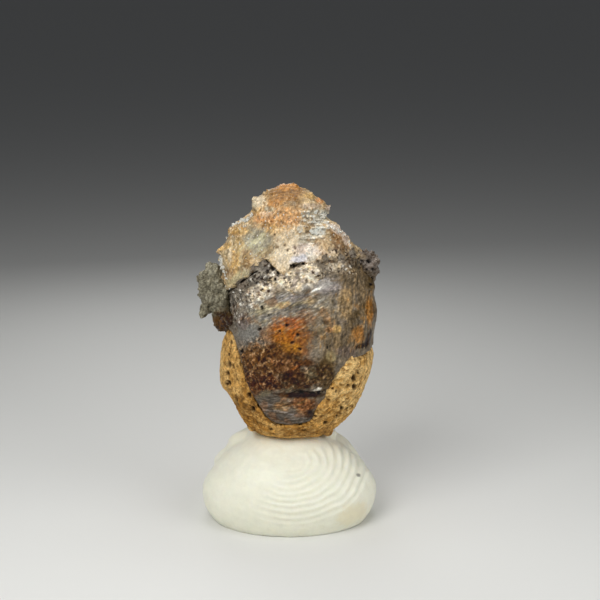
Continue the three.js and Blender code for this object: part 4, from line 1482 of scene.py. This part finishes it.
@dataclass
class MatrixShell:
    """The porous tan matrix that the calcite sits in."""

    grain: float = 0.088
    finish: StoneFinish = StoneFinish(
        "porous_tan_matrix", grain=0.2, fine_grain=0.1, contrast=0.3, speck=0.26, stretch=1.4, turn=20.0, relief=0.06,
        fine_relief=0.03, shine=0.2,
    )
    forms: tuple[Form, ...] = (
        Form(-2.65, 7.15, (0.55, 0.9, 0.42), -0.9, -35),
        Form(-1.9, 6.75, (0.8, 0.9, 0.28), -0.6),
        Form(2.75, 6.7, (0.5, 0.9, 0.32), -0.8, 25),
        Form(0.3, 6.4, (0.8, 0.9, 0.36), -0.7),
        Form(-4.7, 10.7, (0.5, 1.2, 1.0), 0.0),
        Form(3.85, 11.0, (0.8, 0.5, 1.25), -3.7, 18),
        Form(4.5, 11.9, (0.8, 0.5, 0.5), -3.45, 30),
        Form(3.1, 9.6, (0.6, 0.5, 0.8), -3.75, 25),
        Form(2.5, 8.6, (0.6, 0.5, 0.8), -3.6, 30),
    )
    stains: tuple[Patch, ...] = (
        Patch(-4.4, 12.5, 1.0, 3.0, Shade.MATRIX_TAN),
        Patch(-3.2, 8.3, 1.3, 1.3, Shade.MATRIX_DEEP, 0.7),
        Patch(-1.0, 7.0, 2.6, 0.6, Shade.MATRIX_DEEP, 0.7),
        Patch(4.3, 10.5, 1.5, 2.4, Shade.MATRIX_PALE, 0.97),
        Patch(2.4, 8.2, 1.0, 1.0, Shade.MATRIX_DEEP, 0.4),
        Patch(1.5, 6.6, 2.5, 0.4, Shade.MATRIX_BROWN, 0.4),
    )
    rims: tuple[Patch, ...] = (
        Patch(-5.2, 12.0, 0.25, 2.2, Shade.MATRIX_PALE, 0.7),
        Patch(5.9, 11.4, 0.35, 2.6, Shade.MATRIX_PALE, 0.8, -10),
    )
    level: tuple[Patch, ...] = (Patch(3.6, 9.6, 2.2, 2.8, Shade.MATRIX_PALE, 1.0),)
    wormy: tuple[Patch, ...] = (Patch(-2.9, 8.2, 1.5, 1.6, Shade.MATRIX_BROWN, 1.0),)
    pits: tuple[Pit, ...] = (
        Pit(-4.53, 11.61, 0.16, 0.2, 1.6, 20),
        Pit(-4.65, 10.96, 0.13, 0.2, 1.5, 20),
        Pit(-4.55, 10.25, 0.15, 0.2, 1.6, 25),
        Pit(-4.75, 10.1, 0.1, 0.2, 1.6, 25),
        Pit(-4.7, 9.68, 0.14, 0.2, 1.8, 25),
        Pit(-4.05, 8.93, 0.14, 0.2, 1.8, 35),
        Pit(-3.05, 9.3, 0.13, 0.2, 1.8, 30),
        Pit(-2.78, 8.2, 0.17, 0.24, 1.4, 30),
        Pit(-4.6, 12.35, 0.1, 0.16, 1.3, 10),
        Pit(-4.4, 13.3, 0.11, 0.16, 1.5, 10),
        Pit(4.75, 10.6, 0.19, 0.24, 1.5, 10),
        Pit(4.8, 9.94, 0.19, 0.24, 1.2),
        Pit(4.35, 10.05, 0.09, 0.16),
        Pit(5.1, 10.95, 0.09, 0.16),
        Pit(3.2, 9.79, 0.16, 0.2, 0.8),
        Pit(2.55, 9.55, 0.14, 0.2, 1.5),
        Pit(3.85, 8.36, 0.15, 0.2, 1.1),
        Pit(2.63, 7.22, 0.18, 0.2, 0.8, 20),
        Pit(3.5, 7.75, 0.1, 0.16),
        Pit(1.9, 7.75, 0.14, 0.16, 0.6),
        Pit(-1.08, 7.22, 0.22, 0.26, 0.5),
        Pit(0.71, 7.2, 0.22, 0.26, 0.5),
        Pit(1.1, 6.7, 0.14, 0.16, 0.5),
        Pit(-1.4, 6.75, 0.14, 0.16, 0.5),
        Pit(5.6, 12.5, 0.12, 0.2, 1.2),
    )

    def ruffle(self, skin: Skin) -> None:
        """Make the upper rim of the matrix ragged.

        Args:
            skin: The fused matrix.
        """
        points = skin.points()
        rim = ramp(skin.normals()[:, 2], 0.1, 0.7) * ramp(points[:, 2], 9.5, 11.0)
        points[:, 2] += rim * (0.5 * fractal(points, 1.1, 55, 3) + 0.2 * fractal(points, 0.4, 56, 2))
        skin.move_to(points)

    def build(self) -> bpy.types.Object:
        """Build, stain and finish the matrix.

        Returns:
            The finished piece.
        """
        skin = Skin("tan_matrix")
        for form in self.forms:
            form.add_to(skin.shape)
        skin.fuse(self.grain)
        skin.relax(5, 0.5)
        self.ruffle(skin)
        canvas = Canvas(skin, Shade.MATRIX_TAN, 0.85, 41, 0.008)
        points = canvas.points
        level = np.maximum(canvas.weight(self.level), 0.5 * (1.0 - canvas.front))
        wormy = np.maximum(canvas.weight(self.wormy), 0.5 * (1.0 - canvas.front))
        domes, _, chosen = cells(points, 0.6, 42, (1.0, 1.0, 1.3))
        pores = ramp(chosen, 0.28, 0.24) * ramp(domes, 0.74, 0.88)
        small_domes, _, small_chosen = cells(points, 0.26, 43, (1.2, 1.0, 0.9))
        small_pores = ramp(small_chosen, 0.36, 0.3) * ramp(small_domes, 0.55, 0.8)
        grit = fractal(points, 0.35, 44, 4)
        lines = streaks(points, 3, 1.0, 0.24, 47)
        worms = ridges(points, 0.55, 48)
        relief = 0.05 + 0.08 * fractal(points, 1.6, 45, 3) + 0.04 * grit - 0.14 * pores - 0.07 * small_pores
        relief += 0.05 * level * lines + 0.08 * wormy * (worms - 0.4)
        for pit in self.pits:
            relief -= pit.depth * pit.weight(canvas.across, canvas.up, canvas.ragged) * canvas.facing
        skin.push(relief)

        mottle = fractal(points, 0.9, 46, 4)
        canvas.lay(self.stains)
        canvas.stain_and_light(ramp(mottle, 0.05, 0.5) * 0.4, Shade.MATRIX_PALE)
        canvas.stain_and_light(ramp(-mottle, 0.05, 0.5) * 0.4, Shade.MATRIX_DEEP)
        canvas.stain_and_light(ramp(small_chosen, 0.82, 0.9) * ramp(small_domes, 0.4, 0.7) * 0.6, Shade.MATRIX_PALE)
        clouds = fractal(points, 2.4, 57, 3)
        canvas.stain_and_light((1.0 - canvas.front) * ramp(clouds, 0.0, 0.4) * 0.6, Shade.MATRIX_PALE)
        canvas.stain_and_light((1.0 - canvas.front) * ramp(-clouds, 0.0, 0.4) * 0.6, Shade.MATRIX_DEEP)
        canvas.stain_and_light((1.0 - canvas.front) * ramp(mottle * clouds, 0.05, 0.14) * 0.5, Shade.MATRIX_BROWN)
        canvas.stain_and_light(level * ramp(lines, 0.05, 0.4) * 0.5, Shade.MATRIX_PALE)
        canvas.stain_and_light(level * ramp(-lines, 0.1, 0.5) * 0.5, Shade.MATRIX_DEEP)
        canvas.stain_and_light(wormy * ramp(worms, 0.4, 0.0) * 0.45, Shade.MATRIX_BROWN)
        canvas.lay(self.rims)
        cracks = ridges(points, 0.7, 58, (1.4, 1.0, 1.0))
        canvas.stain_and_light(ramp(cracks, 0.8, 1.0) * ramp(mottle, -0.2, 0.3) * 0.55, Shade.MATRIX_BROWN)
        canvas.stain_and_light(ramp(grit, -0.15, -0.5) * 0.4, Shade.MATRIX_BROWN)
        # Painted shade in the carved pores, small and large.
        canvas.stain_and_light(ramp(small_pores, 0.1, 0.8) * 0.75, Shade.MATRIX_BROWN)
        canvas.stain_and_light(ramp(pores, 0.1, 0.8) * 0.75, Shade.NIGHT_BROWN)
        # Painted shade in the carved pits, which get a pale ring round them.
        holes = canvas.weight(self.pits) * canvas.facing
        canvas.stain_and_light(ramp(holes, 0.0, 0.15) * ramp(holes, 0.5, 0.25) * 0.5, Shade.MATRIX_PALE)
        canvas.stain_and_light(holes * 0.9, Shade.NIGHT_BROWN, 0.95)
        canvas.shade(1.0 + 0.16 * grit)
        canvas.dry()
        return skin.piece("matrix_shell", self.finish.material(), ["tan_matrix"])


@dataclass
class SideClump:
    """A clump of small crystals on one side of the stone."""

    node: str
    name: str
    slot: str
    finish: StoneFinish
    ground: Shade
    pale: Shade
    deep: Shade
    seed: int
    forms: tuple[Form | Tooth, ...]
    crystal: float = 0.3
    grain: float = 0.07
    stand_out: float = 0.13
    stains: tuple[Patch, ...] = ()
    flecks: tuple[Patch, ...] = ()
    holes: tuple[Pit, ...] = ()

    def build(self) -> bpy.types.Object:
        """Build, stain and finish the clump.

        Returns:
            The finished piece.
        """
        skin = Skin(self.node)
        for form in self.forms:
            form.add_to(skin.shape)
        skin.fuse(self.grain)
        skin.relax(3, 0.5)
        canvas = Canvas(skin, self.ground, 0.45, self.seed, 0.016)
        points = canvas.points
        domes, edges, tint = cells(points, self.crystal, self.seed + 1)
        broken, tone = plates(points, 0.45 * self.crystal, self.seed + 2)
        relief = self.stand_out * (domes - 0.5) + 0.4 * self.stand_out * broken
        relief += 0.05 * fractal(points, 0.8, self.seed + 3)
        for hole in self.holes:
            relief -= hole.depth * hole.weight(canvas.across, canvas.up, canvas.ragged) * canvas.front
        skin.push(relief)
        canvas.stain_and_light(ramp(domes, 0.4, 0.95) * 0.35, self.pale, 0.3)
        canvas.stain_and_light(ramp(edges, 0.16, 0.02) * 0.45, self.deep, 0.6)
        canvas.stain_and_light(ramp(tone, 0.84, 0.9) * 0.45, self.pale, 0.2)
        canvas.stain_and_light(ramp(tone, 0.2, 0.14) * 0.35, self.deep)
        canvas.stain_and_light(ramp(tint, 0.25, 0.15) * 0.25, self.deep)
        canvas.lay(self.stains)
        canvas.lay(self.flecks, ramp(tone, 0.6, 0.68))
        # Painted shade in the carved holes.
        canvas.stain_and_light(canvas.weight(self.holes) * 0.85, Shade.BLACK, 0.8)
        canvas.dry()
        return skin.piece(self.name, self.finish.material(), [self.node])


@dataclass
class PuttyLump:
    """The lump of white putty, with folds behind and finger ridges pressed into its front."""

    grain: float = 0.14
    ridge_centre: tuple[float, float] = (0.1, 4.4)
    ridge_gap: float = 0.47
    ridge_height: float = 0.085
    foot_spread: float = 0.045
    folds: tuple[Form, ...] = (
        Form(-3.9, 5.95, (0.95, 0.9, 0.52), 1.0, -33),
        Form(-4.98, 4.78, (0.92, 0.9, 0.52), 0.8, -42),
        Form(-3.2, 5.3, (1.4, 0.8, 0.45), -1.2, -28),
    )
    seat: tuple[float, float, float] = (0.2, 0.2, 6.3)
    seat_reach: tuple[float, float] = (2.5, 1.9)
    warm: tuple[Patch, ...] = (Patch(4.8, 0.4, 1.2, 0.7, Shade.PUTTY_WARM, 0.6, 30),)
    fleck: tuple[Pit, ...] = (Pit(5.15, 3.3, 0.12, 0.05, 1.5, 30),)
    finish: StoneFinish = StoneFinish(
        "white_putty", grain=0.8, fine_grain=0.25, contrast=0.03, speck=0.012, relief=0.05, fine_relief=0.004,
        glow=0.35, glow_depth=0.9,
    )

    def ridges(self, canvas: Canvas) -> Floats:
        """Return the pressed ridges, from -1 to 1, which fade out of the front's right half."""
        across, up = canvas.across, canvas.up
        wander = 0.25 * fractal(canvas.points, 2.5, 52, 2)
        right = (across - self.ridge_centre[0]) / 1.25
        rise = up - self.ridge_centre[1]
        ring = np.hypot(right, rise) + wander
        bearing = np.degrees(np.arctan2(rise, right))
        swept = ramp(bearing, -140.0, -90.0) * ramp(bearing, 45.0, 15.0)
        spread = ramp(ring, 0.5, 1.3) * ramp(ring, 5.1, 4.5)
        uneven = 0.6 + 0.4 * fractal(canvas.points, 1.2, 53, 2)
        return np.sin(2.0 * math.pi * ring / self.ridge_gap) * swept * spread * canvas.front * uneven

    def build(self) -> bpy.types.Object:
        """Build, stain and finish the putty.

        Returns:
            The finished piece.
        """
        skin = Skin("putty_mount")
        for step in range(11):
            turn = math.radians(18.0 * step)
            reach = Vector((self.seat_reach[0] * math.cos(turn), self.seat_reach[1] * math.sin(turn), 0.0))
            lump(skin.shape, (0.95, 0.95, 0.55 + 0.1 * math.sin(2.3 * step)), Vector(self.seat) + reach)
        for fold in self.folds:
            fold.add_to(skin.shape)
        skin.fuse(self.grain)
        widened = skin.points()
        widened[:, 0] *= 1.0 + self.foot_spread * ramp(widened[:, 2], 4.6, 2.6)
        skin.move_to(widened)
        resting = ramp(skin.points()[:, 2], 0.02, 0.3)
        skin.relax(12, 0.5 * resting)
        canvas = Canvas(skin, Shade.PUTTY, 0.5, 51)
        lumps = 0.1 * fractal(canvas.points, 2.6, 54, 3)
        folds = fractal(canvas.points, 6.5, 59, 2, (1.0, 1.0, 1.8))
        creases = 0.14 * ramp(np.abs(folds), 0.09, 0.0) * (1.0 - canvas.front)
        pressed = self.ridge_height * self.ridges(canvas)
        skin.push((lumps - creases + pressed) * resting)
        canvas.lay(self.warm)
        # Painted light and shade: lighter on the crests of the pressed ridges and darker in the creases.
        canvas.shade(1.0 + 0.25 * pressed - 0.3 * creases)
        canvas.stain_and_light(canvas.weight(self.fleck) * 0.85, Shade.BLUE_GREY)
        canvas.dry()
        return skin.piece("putty_lump", self.finish.material(), ["putty_mount"])


@dataclass(frozen=True)
class GlassFinish:
    """Clear pale calcite, for the small crystals along the crown's edge."""

    name: str = "clear_calcite"

    def material(self) -> bpy.types.Material:
        """Build the material.

        Returns:
            A pale, partly see-through material with cloudy veils.
        """
        recipe = Recipe(self.name)
        veils = recipe.noise(0.35, 3.0)
        tones = recipe.add("ShaderNodeValToRGB")
        tones.color_ramp.elements[0].position = 0.35
        tones.color_ramp.elements[0].color = (*to_light(Shade.ICE.seen()), 1)
        tones.color_ramp.elements[1].position = 0.65
        tones.color_ramp.elements[1].color = (*to_light(Shade.WHITE.seen()), 1)
        recipe.join(veils, tones.inputs["Fac"])
        recipe.join(tones.outputs["Color"], recipe.shader.inputs["Base Color"])
        recipe.join(recipe.spread(veils, 0.05, 0.3), recipe.shader.inputs["Roughness"])
        recipe.join(recipe.bump(veils, 0.01), recipe.shader.inputs["Normal"])
        return recipe.settle(transmission_weight=0.15, ior=1.6)


@dataclass(frozen=True)
class CrystalRun:
    """A run of small crystals between two places in the front view."""

    start: tuple[float, float]
    end: tuple[float, float]
    count: int
    size: float
    spread: float = 0.12


@dataclass
class CrownCrystals:
    """Small clear crystals along the crown's edge and ledges."""

    finish: GlassFinish = GlassFinish()
    runs: tuple[CrystalRun, ...] = (
        CrystalRun((-5.2, 19.7), (-5.05, 18.9), 18, 0.17, 0.06),
        CrystalRun((-5.05, 18.9), (-4.7, 18.0), 14, 0.15, 0.08),
        CrystalRun((-4.8, 21.6), (-4.72, 20.9), 8, 0.15, 0.05),
        CrystalRun((-4.35, 22.05), (-3.35, 22.4), 12, 0.18, 0.06),
        CrystalRun((-3.2, 22.4), (-2.8, 22.85), 7, 0.2, 0.04),
        CrystalRun((1.2, 22.6), (2.7, 22.75), 14, 0.16, 0.2),
        CrystalRun((1.6, 22.25), (2.9, 22.25), 14, 0.11, 0.04),
        CrystalRun((1.8, 21.4), (2.6, 21.6), 10, 0.18, 0.15),
        CrystalRun((2.6, 22.1), (4.2, 21.2), 12, 0.14, 0.08),
        CrystalRun((4.3, 20.9), (4.5, 20.5), 4, 0.12, 0.05),
        CrystalRun((-4.85, 17.6), (-4.6, 16.6), 6, 0.12, 0.1),
    )
    scatter: int = 80

    def spot(self, tree: BVHTree, across: float, up: float) -> tuple[Vector, Vector]:
        """Find the place and outward direction of the stone that the front view shows somewhere.

        Args:
            tree: The stone's faces.
            across: Place across the view.
            up: Place up the view.

        Returns:
            A place on the stone, the nearest one where the view misses it, and its outward direction.
        """
        eye, aimed = VIEW.ray(across, up)
        place, outward, _, _ = tree.ray_cast(eye, aimed)
        if place is None:
            place, outward, _, _ = tree.find_nearest(eye + aimed * VIEW.distance)
        return place, outward

    def build(self, tree: BVHTree) -> bpy.types.Object:
        """Grow the crystals on the calcite.

        Args:
            tree: The calcite's faces in millimetres.

        Returns:
            The finished piece.
        """
        chance = random.Random(5)
        shape = bmesh.new()
        for run in self.runs:
            for i in range(run.count):
                share = (i + chance.random()) / run.count
                across = run.start[0] + share * (run.end[0] - run.start[0]) + chance.gauss(0, run.spread)
                up = run.start[1] + share * (run.end[1] - run.start[1]) + chance.gauss(0, run.spread)
                self.grow(shape, tree, across, up, run.size * chance.uniform(0.6, 1.2), chance)
        for _ in range(self.scatter):
            self.grow(shape, tree, chance.uniform(-4.5, 3.5), chance.uniform(19.5, 23.2), chance.uniform(0.06, 0.1), chance)
        bmesh.ops.scale(shape, vec=Vector((METRES, METRES, METRES)), verts=shape.verts)
        bmesh.ops.recalc_face_normals(shape, faces=shape.faces)
        mesh = bpy.data.meshes.new("crown_crystals")
        shape.to_mesh(mesh)
        shape.free()
        mesh.materials.append(self.finish.material())
        return settle_piece("crown_crystals", mesh)

    def grow(self, shape: bmesh.types.BMesh, tree: BVHTree, across: float, up: float, size: float, chance: random.Random) -> None:
        """Grow one crystal, half sunk in the stone."""
        place, outward = self.spot(tree, across, up)
        lean = Vector((chance.gauss(0, 0.3), chance.gauss(0, 0.3), 0.5 + chance.gauss(0, 0.3)))
        aim = (outward + lean).normalized()
        rhomb(shape, size, chance.uniform(1.1, 1.9), aim, chance.uniform(0, math.pi), place - 0.15 * size * outward)


LEFT_CLUMP = SideClump(
    node="left_crystal_cluster",
    name="grey_green_clump",
    slot="grey_crystals",
    finish=StoneFinish(
        "grey_green_crystals", grain=0.15, fine_grain=0.1, contrast=0.2, speck=0.32, relief=0.02, lustre=0.03, shine=0.2
    ),
    ground=Shade.CLUSTER_GREY,
    pale=Shade.CLUSTER_PALE,
    deep=Shade.CLUSTER_DARK,
    seed=61,
    crystal=0.5,
    stand_out=0.16,
    forms=(
        Form(-5.6, 18.1, (0.75, 0.8, 0.95), 0.4),
        Form(-6.2, 17.6, (0.62, 0.7, 0.62), 0.5),
        Form(-5.5, 16.6, (0.85, 0.9, 0.9), 0.4),
        Form(-6.25, 15.8, (0.52, 0.6, 0.42), 0.5),
        Form(-5.0, 15.9, (0.6, 0.8, 0.7), 0.2),
        Form(-4.95, 17.2, (0.45, 1.0, 1.0), 0.6),
        Form(-4.85, 16.2, (0.5, 1.2, 1.1), 1.0),
        Form(-4.95, 15.0, (0.55, 0.7, 0.5), -0.3),
        Form(-5.3, 14.75, (0.42, 0.5, 0.36), -0.2, 30),
        Form(-4.55, 14.65, (0.42, 0.5, 0.5), -0.9),
        Form(-4.75, 14.25, (0.3, 0.4, 0.26), -0.5),
        Form(-4.45, 14.95, (0.42, 0.55, 0.5), -1.6),
        Form(-4.62, 15.45, (0.28, 0.5, 0.5), -1.1),
        Form(-4.8, 16.5, (0.3, 0.5, 1.0), -0.5),
        Form(-5.0, 18.2, (0.45, 0.8, 0.8), 1.0),
        Tooth(-5.55, 18.75, 0.55, 1.2, (-0.3, 0.0, 1.0), 0.3, 0.3),
        Tooth(-6.6, 18.0, 0.5, 1.2, (-1.0, 0.0, 0.4), 0.4, 0.8),
        Tooth(-6.5, 16.9, 0.55, 1.2, (-1.0, 0.0, -0.3), 0.4, 0.2),
        Tooth(-6.5, 15.4, 0.4, 1.2, (-1.0, 0.0, -0.5), 0.4, 1.1),
    ),
    stains=(
        Patch(-4.85, 14.85, 1.1, 0.95, Shade.IRON_BROWN, 0.97),
        Patch(-5.6, 14.85, 0.3, 0.35, Shade.DRUSE_BROWN, 0.5),
        Patch(-4.4, 16.1, 0.6, 0.7, Shade.CLUSTER_DARK, 0.7),
    ),
    flecks=(
        Patch(-5.2, 14.6, 0.5, 0.4, Shade.RUST_BROWN, 0.4),
        Patch(-4.9, 14.9, 0.9, 0.8, Shade.STREAK_TAN, 0.14),
    ),
)


RIGHT_KNOB = SideClump(
    node="right_crystal_knob",
    name="dark_grey_knob",
    slot="dark_crystals",
    finish=StoneFinish("dark_grey_crystals", grain=0.15, fine_grain=0.1, contrast=0.26, speck=0.3, relief=0.02, shine=0.22),
    ground=Shade.KNOB_GREY,
    pale=Shade.KNOB_PALE,
    deep=Shade.NIGHT_BROWN,
    seed=71,
    crystal=0.27,
    forms=(
        Form(5.35, 19.55, (0.62, 0.8, 0.5), -0.7, 20),
        Form(5.6, 19.4, (0.6, 0.9, 0.55), -0.1, 20),
        Form(5.75, 18.9, (0.68, 0.9, 0.6), -0.5),
        Form(6.1, 18.7, (0.5, 0.9, 0.62), 0.2),
        Form(5.95, 18.2, (0.5, 0.8, 0.5), 0.0),
        Tooth(6.3, 19.3, 0.4, 1.2, (1.0, 0.0, 0.5), 0.2, 0.4),
        Tooth(5.7, 20.0, 0.36, 1.2, (0.2, 0.0, 1.0), 0.2, 0.9),
        Tooth(6.4, 18.5, 0.36, 1.2, (1.0, 0.0, -0.2), 0.2, 0.1),
    ),
    stains=(
        Patch(5.6, 18.2, 0.7, 0.5, Shade.OLIVE, 0.5),
        Patch(5.2, 19.7, 0.5, 0.3, Shade.SHOULDER, 0.6),
        Patch(6.1, 19.2, 0.45, 0.35, Shade.KNOB_PALE, 0.35),
    ),
    holes=(
        Pit(5.95, 19.35, 0.2, 0.2, 0.7),
        Pit(6.25, 18.75, 0.15, 0.2),
        Pit(5.4, 19.35, 0.18, 0.16, 0.6, -40),
        Pit(5.75, 18.7, 0.12, 0.14),
        Pit(6.15, 18.0, 0.12, 0.16, 1.5),
    ),
)


@dataclass
class Studio:
    """The pale floor, the soft lights and the camera."""

    reach: float = 1.2

    def build(self) -> None:
        """Set up the floor, lights, background and camera."""
        self.floor()
        self.light("key", (-30, -52, 66), (0.75, 0, 14), 46, 0.042)
        self.light("left", (-62, -18, 34), (0.75, 0, 12), 50, 0.006)
        self.light("right", (56, -40, 40), (0.75, 0, 13), 54, 0.022)
        self.light("top", (4, 6, 72), (0.75, 0, 12), 40, 0.014)
        self.light("back", (-12, 60, 48), (0.75, 0, 14), 40, 0.008)
        world = bpy.data.worlds.new("dim room")
        world.use_nodes = True
        world.node_tree.nodes["Background"].inputs["Color"].default_value = (0.6, 0.62, 0.66, 1)
        world.node_tree.nodes["Background"].inputs["Strength"].default_value = 0.09
        bpy.context.scene.world = world
        bpy.context.scene.view_settings.view_transform = "Standard"
        self.camera()

    def floor(self) -> None:
        """Lay a plain pale floor."""
        shape = bmesh.new()
        bmesh.ops.create_grid(shape, x_segments=4, y_segments=4, size=self.reach)
        mesh = bpy.data.meshes.new("floor")
        shape.to_mesh(mesh)
        shape.free()
        made = bpy.data.materials.new("plain_floor")
        made.use_nodes = True
        shader = made.node_tree.nodes["Principled BSDF"]
        shader.inputs["Base Color"].default_value = (*to_light(Shade.FLOOR.seen()), 1)
        shader.inputs["Roughness"].default_value = 0.95
        mesh.materials.append(made)
        floor = bpy.data.objects.new("floor", mesh)
        bpy.context.scene.collection.objects.link(floor)

    def light(self, name: str, place: tuple[float, ...], aim: tuple[float, ...], size: float, power: float) -> None:
        """Hang a soft square light.

        Args:
            name: The light's name.
            place: Where it hangs, in millimetres.
            aim: What it points at, in millimetres.
            size: Its side in millimetres.
            power: Its power in watts.
        """
        lamp = bpy.data.lights.new(name, "AREA")
        lamp.size = size * METRES
        lamp.energy = power
        hung = bpy.data.objects.new(name, lamp)
        hung.visible_camera = False
        hung.location = Vector(place) * METRES
        hung.rotation_euler = (Vector(aim) - Vector(place)).to_track_quat("-Z", "Y").to_euler()
        bpy.context.scene.collection.objects.link(hung)

    def camera(self) -> None:
        """Put the camera where the front view is seen from."""
        eye, ahead, _, _ = VIEW.axes()
        lens = bpy.data.cameras.new("front")
        lens.sensor_width = 36.0
        lens.lens = 88.0
        lens.clip_start = 0.005
        lens.clip_end = 10.0
        camera = bpy.data.objects.new("front", lens)
        camera.location = Vector(eye) * METRES
        camera.rotation_euler = Vector(ahead).to_track_quat("-Z", "Y").to_euler()
        bpy.context.scene.collection.objects.link(camera)
        bpy.context.scene.camera = camera


def main() -> None:
    """Build every piece in order and note the sizes."""
    logging.basicConfig(level=logging.INFO, format="%(name)s: %(message)s")
    Studio().build()
    SpiralCore().build()
    crust = CrownCrust().build()
    MatrixShell().build()
    LEFT_CLUMP.build()
    RIGHT_KNOB.build()
    PuttyLump().build()
    CrownCrystals().build(crust)


if __name__ == "__main__":
    main()
